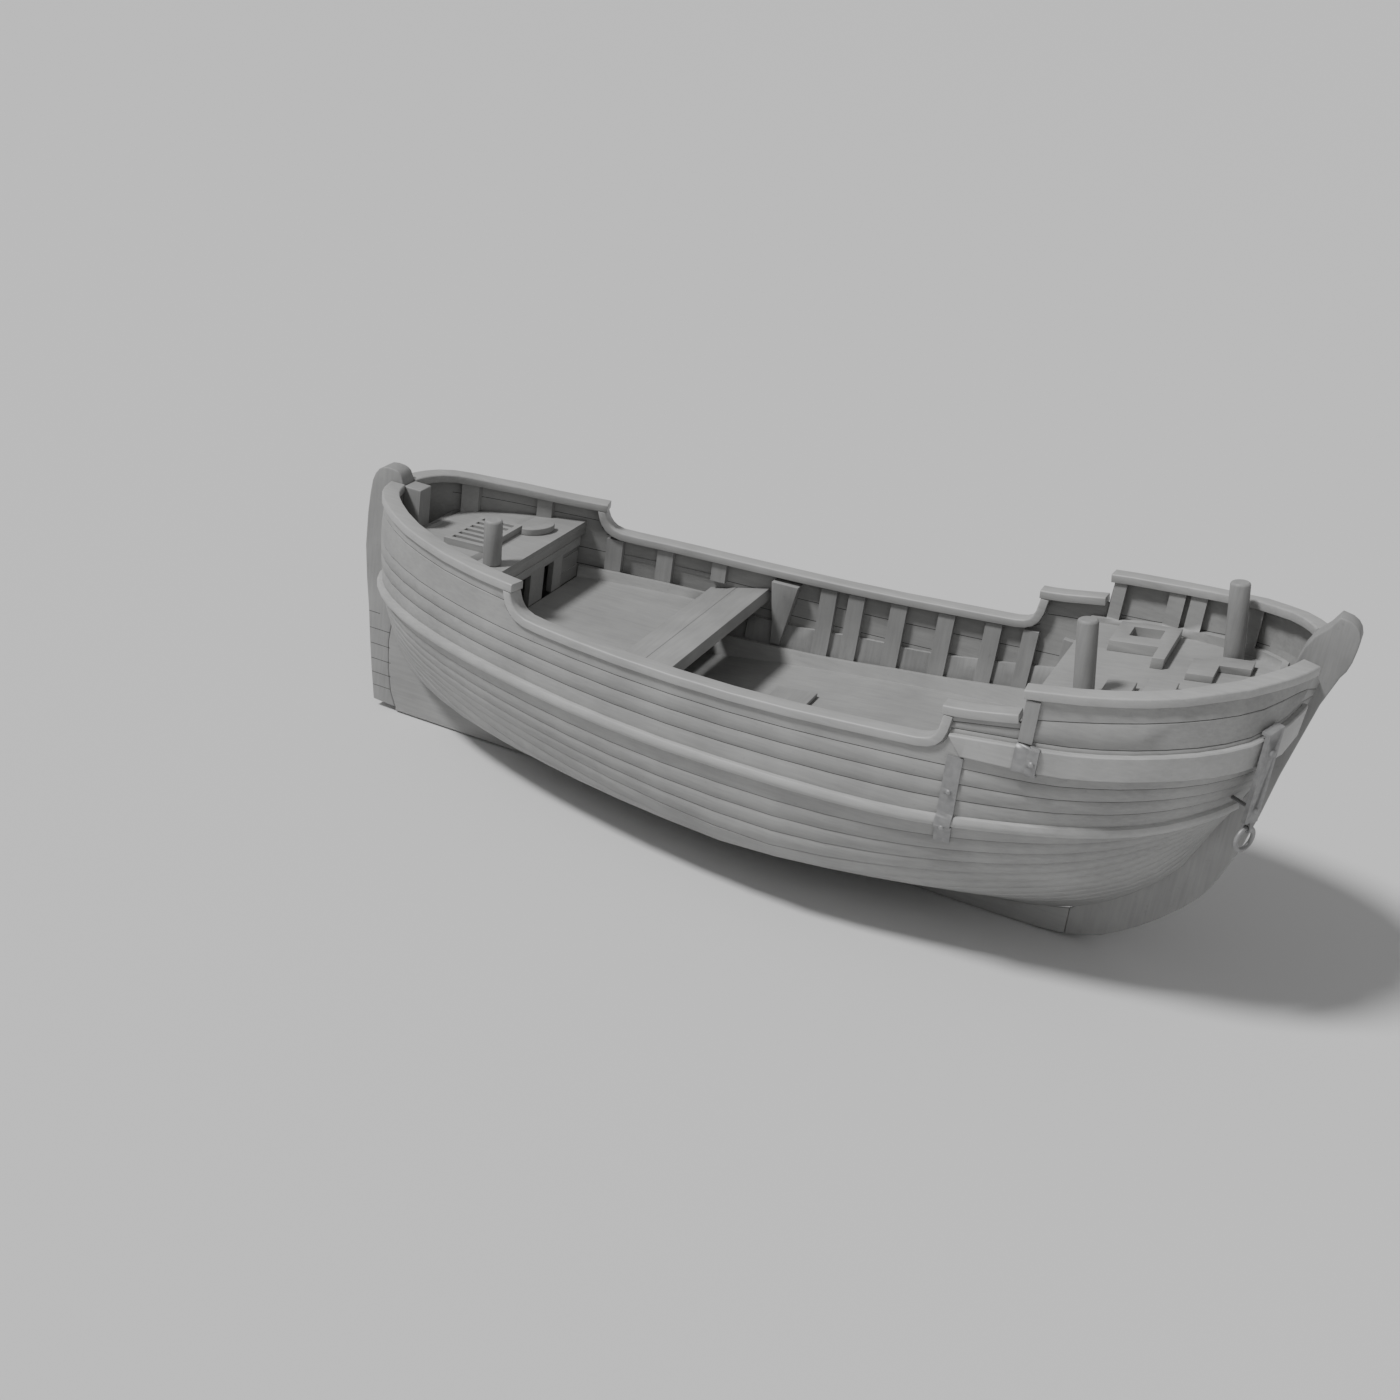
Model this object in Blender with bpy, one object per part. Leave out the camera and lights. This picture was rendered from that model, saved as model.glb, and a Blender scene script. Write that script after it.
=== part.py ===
"""Heavy wooden rowboat: keel hull with grooved plank seams, raised ends, decks and bow irons.

Metres, +X to the bow, +Y to port, +Z up. The origin is at the waterline, on the
centre plane, amidships.
"""
import math
from collections import namedtuple

import bmesh
import bpy
from mathutils import Matrix, Vector
from mathutils.bvhtree import BVHTree

OBJECT_NAME = "rowboat"

# Seats: touching pieces keep this much between their faces
GAP = 0.0003
WALL_BACK = 0.0007
DECK_BACK = 0.0020
RIB_BACK = 0.0012

# Planking and backbone sizes
PLANK = 0.030
SIDING_HALF = 0.074
RIB_DEPTH = 0.050
CEILING_DEPTH = 0.024

# Cap rails
CAP_THICK = 0.058
CAP_OUT = 0.022
CAP_IN = 0.100
CAP_EDGE = 0.008

# Rubbing strake, wale and seams
STRAKE_HALF = 0.042
STRAKE_BACK = 0.040
STRAKE_PROUD = 0.040
WALE_PROUD = 0.036
WALE_AFT_SEAT, WALE_AFT_SHARES = 0.0012, (0.80, 0.0, 0.0, 0.0, 0.80, 0.80)
WALE_FORE_SEAT, WALE_FORE_SHARES = 0.004, (0.85, 0.20, 0.20, 0.20, 0.85, 0.85)
SEAM_HALF = 0.006
SEAM_DEEP = 0.006

# Hull form: each level is a plan curve made of two superellipse quarters
Level = namedtuple("Level", "z breadth aft fore widest power_aft power_fore")
LEVELS = (
    Level(-0.287, 0.058, -2.390, 2.000, -0.19, 1.20, 1.05),
    Level(-0.261, 0.350, -2.520, 2.040, -0.11, 1.23, 1.10),
    Level(-0.227, 0.490, -2.605, 2.130, -0.09, 1.27, 1.13),
    Level(-0.166, 0.640, -2.700, 2.235, 0.00, 1.37, 1.22),
    Level(-0.071, 0.845, -2.820, 2.375, 0.02, 1.55, 1.34),
    Level(0.120, 1.060, -3.030, 2.570, 0.30, 1.60, 1.54),
    Level(0.380, 1.105, -3.100, 2.780, 0.38, 1.93, 1.89),
    Level(0.727, 1.140, -3.155, 2.915, 0.61, 2.22, 2.20),
    Level(1.125, 1.145, -3.185, 3.080, 1.00, 2.33, 2.60),
    Level(1.420, 1.150, -3.165, 3.175, 1.14, 2.37, 2.85),
    Level(2.030, 1.230, -3.180, 3.290, 1.05, 2.27, 2.16),
)
FAN_FORE_Z = 1.118
FAN_AFT_Z = 0.735
FORE_PIVOT = 1.90
AFT_PIVOT = -2.20

# Section places along the boat, fanned out to the stem and the post above the fan levels
STATIONS = (
    -3.130, -3.095, -3.040, -2.960, -2.850, -2.700, -2.520, -2.300, -2.050, -1.180, -0.850,
    -0.450, -0.050, 0.350, 0.700, 0.980, 1.180, 1.250, 1.300, 1.335, 1.356,
    1.370, 1.480, 1.620, 1.755, 1.7640, 1.7680, 1.900, 2.050, 2.210, 2.370, 2.520, 2.660, 2.780, 2.880,
    2.950, 3.000, 3.035,
)

# The curved drop from the high stern rail starts at a different place on each side
DROP_START = {"port": -1.975, "starboard": -1.765}
DROP_SHAPE = (
    (0.000, 1.268), (0.012, 1.220), (0.034, 1.170), (0.068, 1.127), (0.115, 1.094), (0.185, 1.073),
    (0.300, 1.066),
)
RISE_SHAPE = (
    (1.180, 1.190), (1.250, 1.206), (1.300, 1.232), (1.335, 1.275), (1.356, 1.335), (1.370, 1.449),
)

# Heights along the boat, each row is (x, z)
STRAKE_LINE = (
    (-3.18, 0.735), (-2.71, 0.701), (-2.37, 0.684), (-2.08, 0.675), (-1.72, 0.665), (-1.22, 0.647),
    (-0.60, 0.636), (0.00, 0.646), (0.53, 0.664), (1.05, 0.692), (1.42, 0.730), (1.77, 0.778),
    (2.11, 0.830), (2.44, 0.895), (2.65, 0.956), (2.85, 1.040), (3.03, 1.115),
)
SHEER_LINE = (
    (-3.18, 1.175), (-2.80, 1.130), (-2.40, 1.095), (-2.00, 1.075), (-1.69, 1.066), (-0.97, 1.063),
    (-0.38, 1.073), (0.175, 1.099), (0.70, 1.142), (1.11, 1.180), (1.42, 1.206), (1.71, 1.222),
    (1.97, 1.236), (2.28, 1.284), (2.60, 1.353), (2.90, 1.420), (3.04, 1.457), (3.20, 1.505),
)
STERN_TOP_LINE = (
    (-3.18, 1.352), (-3.05, 1.352), (-2.91, 1.336), (-2.77, 1.312), (-2.54, 1.293), (-2.34, 1.276),
    (-2.15, 1.268), (-1.97, 1.267), (-1.60, 1.272),
)
QUARTER_TOP_LINE = ((1.30, 1.444), (1.36, 1.449), (1.78, 1.527), (1.90, 1.550))
BOW_TOP_LINE = (
    (1.70, 1.680), (1.76, 1.691), (2.17, 1.752), (2.585, 1.830), (2.784, 1.882), (2.975, 1.925),
    (3.06, 1.951), (3.157, 1.972), (3.225, 1.990),
)
WALE_TOP_LINE = (
    (1.36, 1.336), (1.80, 1.390), (1.94, 1.402), (2.25, 1.450), (2.57, 1.518), (2.87, 1.589),
    (3.04, 1.645), (3.11, 1.695), (3.15, 1.7265), (3.185, 1.770), (3.22, 1.810), (3.26, 1.850),
)
SEAM_LINE = (
    (1.70, 1.535), (1.87, 1.571), (2.20, 1.642), (2.517, 1.709), (2.818, 1.776), (3.008, 1.823),
    (3.167, 1.895),
)
BOW_END_TOP = 1.853
DROP_TOP = 1.2652
RISE_TOP = 1.4425
FOREDECK_POST = 1.766

# Shares of the section's girth, from the rubbing strake down to the keel
STRAKE_SHARES = (0.0, 0.095, 0.168, 0.238, 0.310, 0.385, 0.465, 0.550, 0.642, 0.740, 0.855, 1.0)
TOPSIDE_SEAMS = (0.26, 0.53, 0.79)
STERN_SEAMS = (0.62,)


def smooth_line(rows):
    """Return a monotone cubic curve through the rows of (x, value), flat beyond its ends."""
    xs = [row[0] for row in rows]
    ys = [row[1] for row in rows]
    steps = [xs[i + 1] - xs[i] for i in range(len(xs) - 1)]
    rates = [(ys[i + 1] - ys[i]) / steps[i] for i in range(len(steps))]
    slopes = [rates[0]]
    for i in range(1, len(steps)):
        if rates[i - 1] * rates[i] <= 0.0:
            slopes.append(0.0)
            continue
        front = 2.0 * steps[i] + steps[i - 1]
        back = steps[i] + 2.0 * steps[i - 1]
        slopes.append((front + back) / (front / rates[i - 1] + back / rates[i]))
    slopes.append(rates[-1])

    def value(x):
        x = min(max(x, xs[0]), xs[-1])
        i = 0
        while i < len(steps) - 1 and x > xs[i + 1]:
            i += 1
        h = steps[i]
        t = (x - xs[i]) / h
        total = ys[i] * (1 + 2 * t) * (1 - t) ** 2 + slopes[i] * h * t * (1 - t) ** 2
        return total + ys[i + 1] * t * t * (3 - 2 * t) + slopes[i + 1] * h * t * t * (t - 1)

    return value


FORM = {key: smooth_line([(level.z, getattr(level, key)) for level in LEVELS])
        for key in ("breadth", "aft", "fore", "widest", "power_aft", "power_fore")}
strake_z = smooth_line(STRAKE_LINE)
sheer_z = smooth_line(SHEER_LINE)
stern_top_z = smooth_line(STERN_TOP_LINE)
quarter_top_z = smooth_line(QUARTER_TOP_LINE)
bow_top_z = smooth_line(BOW_TOP_LINE)
wale_top_z = smooth_line(WALE_TOP_LINE)
seam_z = smooth_line(SEAM_LINE)
rise_z = smooth_line(RISE_SHAPE)
drop_z = smooth_line(DROP_SHAPE)


def form_breadth(x, z):
    """Half breadth of the hull form at x on the level z (0 beyond its ends)."""
    widest = FORM["widest"](z)
    fore = x >= widest
    power = FORM["power_fore"](z) if fore else FORM["power_aft"](z)
    reach = FORM["fore"](z) - widest if fore else widest - FORM["aft"](z)
    ratio = abs(x - widest) / reach
    if ratio >= 1.0:
        return 0.0
    return FORM["breadth"](z) * (1.0 - ratio ** power) ** (1.0 / power)


def form_end(z, fore):
    """Place along the boat where the level meets the side of the stem or the post."""
    power = FORM["power_fore"](z) if fore else FORM["power_aft"](z)
    widest = FORM["widest"](z)
    reach = FORM["fore"](z) - widest if fore else FORM["aft"](z) - widest
    ratio = min((SIDING_HALF + GAP) / FORM["breadth"](z), 1.0)
    return widest + reach * (1.0 - ratio ** power) ** (1.0 / power)


STERN_END = form_end(FAN_AFT_Z, False)
BOW_END = form_end(FAN_FORE_Z, True)


def rabbet_z(x):
    """Lowest height where the planking at x still stands off the backbone's side."""
    low, high = -0.287, 2.03
    if form_breadth(x, high) < SIDING_HALF:
        return high
    for _ in range(40):
        middle = 0.5 * (low + high)
        if form_breadth(x, middle) < SIDING_HALF + GAP:
            low = middle
        else:
            high = middle
    return high


def station_x(place, z):
    """Place along the boat of a station at the level z; stations fan out above the fan levels."""
    if z > FAN_FORE_Z and place > FORE_PIVOT:
        share = (place - FORE_PIVOT) / (BOW_END - FORE_PIVOT)
        return FORE_PIVOT + share * (form_end(z, True) - FORE_PIVOT)
    if z > FAN_AFT_Z and place < AFT_PIVOT:
        share = (place - AFT_PIVOT) / (STERN_END - AFT_PIVOT)
        return AFT_PIVOT + share * (form_end(z, False) - AFT_PIVOT)
    return min(max(place, form_end(z, False)), form_end(z, True))


def form_value(x, y, z):
    """Implicit value of the hull form: 0 on the surface, positive outside."""
    widest = FORM["widest"](z)
    fore = x >= widest
    power = FORM["power_fore"](z) if fore else FORM["power_aft"](z)
    reach = FORM["fore"](z) - widest if fore else widest - FORM["aft"](z)
    return (abs(x - widest) / reach) ** power + (y / FORM["breadth"](z)) ** power - 1.0


def form_point(place, z, offset=0.0):
    """Hull point moved along the outward normal, kept off the backbone's sides (port side)."""
    x = station_x(place, z)
    y = max(form_breadth(x, z), SIDING_HALF + GAP)
    d = 0.001
    level = min(max(z, -0.286), 2.029)
    slope = Vector((
        form_value(x + d, y, level) - form_value(x - d, y, level),
        form_value(x, y + d, level) - form_value(x, y - d, level),
        form_value(x, y, level + d) - form_value(x, y, level - d),
    ))
    point = Vector((x, y, z)) + slope.normalized() * offset
    point.y = max(point.y, SIDING_HALF + GAP)
    return point


def z_on_line(place, line):
    """Height where the station crosses a line given by its height over x."""
    low, high = -0.286, 2.03
    for _ in range(40):
        middle = 0.5 * (low + high)
        if middle < line(station_x(place, middle)):
            low = middle
        else:
            high = middle
    return 0.5 * (low + high)


def girth_heights(place, top, bottom):
    """Heights on the station that split its girth by the strake shares, top first."""
    count = 60
    zs = [top + (bottom - top) * (i / count) ** 0.7 for i in range(count + 1)]
    points = [form_point(place, z) for z in zs]
    lengths = [0.0]
    for first, second in zip(points, points[1:]):
        lengths.append(lengths[-1] + (second - first).length)
    heights = []
    for part in STRAKE_SHARES:
        target = part * lengths[-1]
        i = 0
        while i < count - 1 and lengths[i + 1] < target:
            i += 1
        t = (target - lengths[i]) / max(lengths[i + 1] - lengths[i], 1e-9)
        heights.append(zs[i] + (zs[i + 1] - zs[i]) * t)
    return heights


def new_collection(name):
    """Make a collection in the scene."""
    collection = bpy.data.collections.new(name)
    bpy.context.scene.collection.children.link(collection)
    return collection


def plain_material(name, colour, roughness, metallic):
    """Principled material with plain values."""
    material = bpy.data.materials.new(name)
    material.use_nodes = True
    shader = material.node_tree.nodes["Principled BSDF"]
    shader.inputs["Base Color"].default_value = (*colour, 1.0)
    shader.inputs["Roughness"].default_value = roughness
    shader.inputs["Metallic"].default_value = metallic
    return material


def finish(bm, name, collection, material):
    """Turn the faces outward, write the mesh and link its object."""
    bmesh.ops.recalc_face_normals(bm, faces=bm.faces[:])
    if bm.calc_volume(signed=True) < 0.0:
        bmesh.ops.reverse_faces(bm, faces=bm.faces[:])
    mesh = bpy.data.meshes.new(name)
    bm.to_mesh(mesh)
    bm.free()
    thing = bpy.data.objects.new(name, mesh)
    thing.data.materials.append(material)
    collection.objects.link(thing)
    return thing


def loft(rings):
    """Closed body through rings of equal count, with both ends closed."""
    bm = bmesh.new()
    rows = [[bm.verts.new(point) for point in ring] for ring in rings]
    count = len(rows[0])
    for near, far in zip(rows, rows[1:]):
        for k in range(count):
            following = (k + 1) % count
            a, b, c, d = near[k], near[following], far[following], far[k]
            if a.co.z < b.co.z:
                bm.faces.new((a, b, c))
                bm.faces.new((a, c, d))
            else:
                bm.faces.new((a, b, d))
                bm.faces.new((b, c, d))
    ends = [bm.faces.new(rows[0]), bm.faces.new(list(reversed(rows[-1])))]
    bm.normal_update()
    bmesh.ops.triangulate(bm, faces=ends, ngon_method="EAR_CLIP")
    return bm


def prism(outline, start, stop, axis="Y"):
    """Closed body from an outline, extruded along one axis."""
    bm = bmesh.new()
    order = {"Y": lambda a, b, c: (a, c, b), "Z": lambda a, b, c: (a, b, c), "X": lambda a, b, c: (c, a, b)}
    place = order[axis]
    low = [bm.verts.new(place(a, b, start)) for a, b in outline]
    high = [bm.verts.new(place(a, b, stop)) for a, b in outline]
    count = len(outline)
    for k in range(count):
        following = (k + 1) % count
        bm.faces.new((low[k], low[following], high[following], high[k]))
    bm.faces.new(low)
    bm.faces.new(list(reversed(high)))
    bmesh.ops.recalc_face_normals(bm, faces=bm.faces[:])
    return bm


def bevelled(bm, width, segments=1, angle=50.0):
    """Bevel the sharp edges of a body."""
    limit = math.radians(angle)
    bmesh.ops.recalc_face_normals(bm, faces=bm.faces[:])
    bm.normal_update()
    edges = [edge for edge in bm.edges if len(edge.link_faces) == 2 and edge.calc_face_angle(0.0) > limit]
    bmesh.ops.bevel(bm, geom=edges, offset=width, segments=segments, profile=0.5, affect="EDGES",
                    clamp_overlap=True)
    return bm


def tri_fill(bm):
    """Split faces of more than four corners into triangles."""
    wide = [face for face in bm.faces if len(face.verts) > 4]
    bm.normal_update()
    if wide:
        bmesh.ops.triangulate(bm, faces=wide, ngon_method="EAR_CLIP")
    return bm


def box(low, high):
    """Plain box between two corners."""
    outline = ((low[0], low[1]), (high[0], low[1]), (high[0], high[1]), (low[0], high[1]))
    return prism(outline, low[2], high[2], "Z")


def cell_body(columns, rows, depth_of, point_of, depths):
    """Closed body made of grid cells, each filled to one of the depths (0 for an empty cell)."""
    bm = bmesh.new()
    verts = {}

    def corner(i, j, k):
        key = (i, j, k)
        if key not in verts:
            verts[key] = bm.verts.new(point_of(i, j, depths[k]))
        return verts[key]

    def level(i, j):
        if i < 0 or j < 0 or i >= columns or j >= rows:
            return 0
        return depth_of(i, j)

    for i in range(columns):
        for j in range(rows):
            top = level(i, j)
            if top:
                bm.faces.new((corner(i, j, 0), corner(i, j + 1, 0), corner(i + 1, j + 1, 0), corner(i + 1, j, 0)))
                bm.faces.new((corner(i, j, top), corner(i + 1, j, top), corner(i + 1, j + 1, top),
                              corner(i, j + 1, top)))
    for i in range(columns + 1):
        for j in range(rows + 1):
            for (pi, pj), (ni, nj) in (((i - 1, j), (i, j)), ((i, j - 1), (i, j))):
                across = pi == i
                if (across and i == columns) or (not across and j == rows):
                    continue
                first, second = level(pi, pj), level(ni, nj)
                ends = ((i, j), (i + 1, j)) if across else ((i, j), (i, j + 1))
                for k in range(min(first, second), max(first, second)):
                    loop = (corner(*ends[0], k), corner(*ends[1], k), corner(*ends[1], k + 1),
                            corner(*ends[0], k + 1))
                    bm.faces.new(loop)
    return bm


def unite(base, other, operation="UNION"):
    """Join another object into the base (or cut it out) and drop the other."""
    modifier = base.modifiers.new("unite", "BOOLEAN")
    modifier.operation = operation
    modifier.solver = "EXACT"
    modifier.object = other
    graph = bpy.context.evaluated_depsgraph_get()
    graph.update()
    mesh = bpy.data.meshes.new_from_object(base.evaluated_get(graph))
    base.modifiers.clear()
    old = base.data
    base.data = mesh
    bpy.data.meshes.remove(old)
    bpy.data.objects.remove(other)
    return base


class HullSide:
    """Sections of one side, kept as lines of points from keel to rail."""

    def __init__(self, name, sign):
        self.name = name
        self.sign = sign
        self.drop = DROP_START[name]
        places = list(STATIONS) + [self.drop + x for x, _ in DROP_SHAPE]
        if name == "starboard":
            places.append(-1.90)
        else:
            places.append(-1.45)
        self.places = sorted(places)
        self.places = [STERN_END] + self.places + [BOW_END]
        self.shares = self.places
        self.outer = [self.section(place) for place in self.places]

    def index(self, place):
        """Station number of a listed place."""
        return min(range(len(self.places)), key=lambda i: abs(self.places[i] - place))

    def section(self, place):
        """Key heights of one station: rabbet, rubbing strake, sheer and laps."""
        rabbet = rabbet_z(place)
        strake = max(z_on_line(place, strake_z), rabbet)
        sheer = z_on_line(place, sheer_z)
        laps = girth_heights(place, strake, rabbet)
        return {"rabbet": rabbet, "strake": strake, "sheer": sheer, "laps": laps}

    def top(self, i):
        """Height of the planking's top edge at a station."""
        place = self.places[i]
        if i == len(self.shares) - 1:
            return BOW_END_TOP
        if abs(place - self.drop) < 0.001:
            return DROP_TOP
        if place <= self.drop:
            return z_on_line(self.shares[i], stern_top_z)
        if place <= self.drop + DROP_SHAPE[-2][0] + 0.001:
            return drop_z(place - self.drop)
        if place < RISE_SHAPE[0][0] - 0.001:
            return self.outer[i]["sheer"] + 0.002
        if abs(place - RISE_SHAPE[-1][0]) < 0.001:
            return RISE_TOP
        if place < RISE_SHAPE[-1][0]:
            return rise_z(place)
        if place < FOREDECK_POST:
            return z_on_line(self.shares[i], quarter_top_z)
        return z_on_line(self.shares[i], bow_top_z)

    def put(self, point):
        """Mirror a port point to this side."""
        return Vector((point.x, point.y * self.sign, point.z))

    def skin(self, i, z, offset):
        """Hull form point at a station, on this side."""
        return self.put(form_point(self.shares[i], z, offset))


def seam_points(side, i, z, half):
    """Three outside points of a planking seam groove, from low to high."""
    deep = SEAM_DEEP * half / SEAM_HALF
    return [side.skin(i, z - half, 0.0), side.skin(i, z, -deep), side.skin(i, z + half, 0.0)]


def bottom_ring(side, i):
    """Section of the bottom planking, with a groove at each seam."""
    laps = side.outer[i]["laps"]
    edge = min(STRAKE_HALF, 0.8 * (laps[0] - laps[1]))
    outside = [side.skin(i, laps[0] - GAP, 0.0), side.skin(i, laps[0] - edge, 0.0)]
    for k in range(1, len(laps) - 1):
        if 1 < k < 5:
            outside.append(side.skin(i, 0.5 * (laps[k - 1] + laps[k]), 0.0))
        half = min(SEAM_HALF, 0.15 * min(laps[k - 1] - laps[k], laps[k] - laps[k + 1]))
        outside += reversed(seam_points(side, i, laps[k], half))
    outside.append(side.skin(i, laps[-1], 0.0))
    inside = []
    for k in (11, 10, 9, 7, 5, 4, 2):
        inside.append(side.skin(i, laps[k], -PLANK))
    inside.append(side.skin(i, laps[0] - GAP, -PLANK))
    return outside + inside


def topside_ring(side, i):
    """Section of the flush topside planking, between rubbing strake and sheer line."""
    low, high = side.outer[i]["strake"] + GAP, side.outer[i]["sheer"]
    outside = [side.skin(i, low, 0.0), side.skin(i, low + STRAKE_HALF, 0.0)]
    start = low + STRAKE_HALF
    for part in TOPSIDE_SEAMS:
        outside += seam_points(side, i, start + (high - start) * part, SEAM_HALF)
    outside.append(side.skin(i, high, 0.0))
    inside = []
    for part in (1.0, 0.66, 0.33, 0.0):
        inside.append(side.skin(i, low + (high - low) * part, -PLANK))
    return outside + inside


def bulwark_ring(side, i, seams):
    """Section of the raised planking above the sheer line."""
    low, high = side.outer[i]["sheer"] + GAP, side.top(i) - GAP
    high = max(high, low + 0.003)
    outside = [side.skin(i, low, 0.0)]
    for height, share, grooved in seams:
        height = min(height, low + (high - low) * share)
        if grooved:
            outside += seam_points(side, i, height, min(SEAM_HALF, 0.05 * (high - low)))
        else:
            outside.append(side.skin(i, height, 0.0))
    outside.append(side.skin(i, high, 0.0))
    inside = [side.skin(i, low + (high - low) * part, -PLANK) for part in (1.0, 0.5, 0.0)]
    inside[0].z = min(inside[0].z, outside[-1].z)
    return outside + inside


def stern_seams():
    """Seams of the stern bulwark as (height, highest share of the local height, grooved)."""
    return [(9.0, 0.62, True)]


def bow_seams(side, i):
    """Wale edge and seams of the bow bulwark at a station."""
    wale = z_on_line(side.shares[i], wale_top_z)
    seam = z_on_line(side.shares[i], seam_z)
    return [(wale, 0.60, False), (wale + 0.028, 0.72, True), (seam, 0.86, True)]


def sweep_ring(side, i, z, points):
    """Ring of points given as (height above z, offset from the planking)."""
    return [side.skin(i, z + dz, offset) for dz, offset in points]


def strake_ring(side, i):
    """Section of the half-round rubbing strake."""
    z = side.outer[i]["strake"]
    low_seat = GAP if side.outer[i]["strake"] - side.outer[i]["rabbet"] > 0.6 else 0.004
    ring = sweep_ring(side, i, z, ((-STRAKE_BACK, low_seat), (0.0, GAP), (STRAKE_BACK, GAP)))
    for degrees in (60, 30, 0, -30, -60):
        angle = math.radians(degrees)
        ring.append(side.skin(i, z + STRAKE_BACK * math.sin(angle), GAP + STRAKE_PROUD * math.cos(angle)))
    return ring


def wale_ring(side, i, seat=GAP):
    """Section of the flat bow wale."""
    low = side.outer[i]["sheer"] + 0.004
    high = z_on_line(side.shares[i], wale_top_z) - 0.002
    return [
        side.skin(i, low, seat), side.skin(i, high, seat),
        side.skin(i, high, WALE_PROUD - 0.007), side.skin(i, high - 0.009, WALE_PROUD),
        side.skin(i, low + 0.009, WALE_PROUD), side.skin(i, low, WALE_PROUD - 0.007),
    ]


def wale_cut(side, i, seat, shares):
    """Cut across the wale between a station and the next, each corner at its own share of the way."""
    rings = wale_ring(side, i, seat), wale_ring(side, i + 1, seat)
    return [near.lerp(far, share) for near, far, share in zip(*rings, shares)]


def cap_rings(side, indexes, heights, upright_ends=False, inward=CAP_IN):
    """Sections of a cap rail that sits on the planking's top edge."""
    bases = [side.skin(i, z, 0.0) for i, z in zip(indexes, heights)]
    rings = []
    last = len(bases) - 1
    for n, base in enumerate(bases):
        tangent = (bases[min(n + 1, last)] - bases[max(n - 1, 0)]).normalized()
        flat = Vector((tangent.x, tangent.y, 0.0)).normalized()
        if upright_ends:
            away = side.skin(indexes[n], heights[n], 0.05) - base
            flat = Vector((abs(away.y), -away.x * side.sign, 0.0)).normalized()
            tangent = (flat * math.hypot(tangent.x, tangent.y) + Vector((0.0, 0.0, tangent.z))).normalized()
        out = Vector((-flat.y, flat.x, 0.0)) * side.sign
        lift = tangent.cross(out).normalized()
        if n in (0, last) and upright_ends:
            tangent = Vector((0.0, 0.0, 1.0))
            lift = flat if n == 0 else -flat
        elif lift.z < 0.0:
            lift = -lift
        ring = []
        for across, rise in (
            (-inward, 0.0), (CAP_OUT, 0.0), (CAP_OUT, CAP_THICK - CAP_EDGE),
            (CAP_OUT - CAP_EDGE, CAP_THICK), (-inward + CAP_EDGE, CAP_THICK), (-inward, CAP_THICK - CAP_EDGE),
        ):
            point = base + out * across + lift * (rise + GAP + 0.0009 * abs(tangent.z))
            if point.y * side.sign < SIDING_HALF + GAP:
                point.y = (SIDING_HALF + GAP) * side.sign
            ring.append(point)
        rings.append(ring)
    return rings


class Probe:
    """Finds the faces of the finished hull pieces of one side by casting rays."""

    def __init__(self, side, names):
        self.side = side
        self.trees = []
        for name in names:
            mesh = bpy.data.objects[name + "_" + side.name].data
            corners = [vertex.co.copy() for vertex in mesh.vertices]
            faces = [tuple(face.vertices) for face in mesh.polygons]
            self.trees.append(BVHTree.FromPolygons(corners, faces))

    def distance(self, start, along):
        """Distance to the nearest face along a ray (9 where there is none)."""
        hits = [tree.ray_cast(Vector(start), Vector(along)) for tree in self.trees]
        lengths = [hit[3] for hit in hits if hit[0] is not None]
        return min(lengths) if lengths else 9.0

    def inner(self, x, z, depth=0.0):
        """Half breadth inside the planking, less a depth."""
        along = (0.0, self.side.sign, 0.0)
        reach = min(self.distance((x, 0.0, z + dz), along) for dz in (-0.0015, 0.0, 0.0015))
        return reach - depth

    def outer(self, x, z, spread=0.010):
        """Half breadth over the outside pieces, widest within a height spread."""
        along = (0.0, -self.side.sign, 0.0)
        start = 2.0 * self.side.sign
        steps = (-1.0, -0.5, 0.0, 0.5, 1.0)
        return 2.0 - min(self.distance((x, start, z + spread * part), along) for part in steps)

    def ceiling(self, x, y, z):
        """Height of the first face above a point."""
        return z + self.distance((x, y, z), (0.0, 0.0, 1.0))


def spread(start, stop, step, extra=()):
    """Even places from start to stop, with some extra ones put in."""
    count = max(int(math.ceil(abs(stop - start) / step)), 1)
    places = [start + (stop - start) * i / count for i in range(count + 1)]
    low, high = min(start, stop), max(start, stop)
    for value in extra:
        if low < value < high and min(abs(value - place) for place in places) > 0.004:
            places.append(value)
    return sorted(places)


def relief(name, probe, xs, zs_of, depth_of, depths, back):
    """Body of inner timbers on one side: grid cells on the planking's inner face."""
    sign = probe.side.sign

    def point_of(i, j, depth):
        z = zs_of(xs[i])[j]
        return (xs[i], sign * probe.inner(xs[i], z, back + depth), z)

    rows = len(zs_of(xs[0])) - 1
    bm = cell_body(len(xs) - 1, rows, depth_of, point_of, depths)
    return finish(bm, name, parts, WOOD)


def strap_body(probe, x_aft, x_fore, z_top, z_low, thick, step=0.014, hook=0.0):
    """Flat band over the outside pieces of one side, with an optional hook inward at its top."""
    sign = probe.side.sign
    rings = []
    zs = spread(z_top, z_low, step)
    zs.reverse()
    for n, z in enumerate(zs):
        inside = [probe.outer(x, z, 0.8 * step) + 2.0 * GAP for x in (x_aft, x_fore)]
        inner = [y - hook if n == 0 else y for y in inside]
        ring = [(x_aft, inner[0]), (x_fore, inner[1]), (x_fore, inside[1] + thick), (x_aft, inside[0] + thick)]
        rings.append([Vector((x, sign * y, z)) for x, y in ring])
    if hook:
        roof = []
        for point in rings[0]:
            roof.append(point + Vector((0.0, 0.0, thick)))
        rings.insert(0, roof)
        base = []
        for k, point in enumerate(rings[1]):
            base.append(point.copy())
        rings[1] = base
        lower = [Vector(point) for point in base]
        lower[0].y = sign * (abs(base[0].y) + hook)
        lower[1].y = sign * (abs(base[1].y) + hook)
        for point in lower:
            point.z -= 0.0004
        rings.insert(2, lower)
    return loft(rings)


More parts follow.
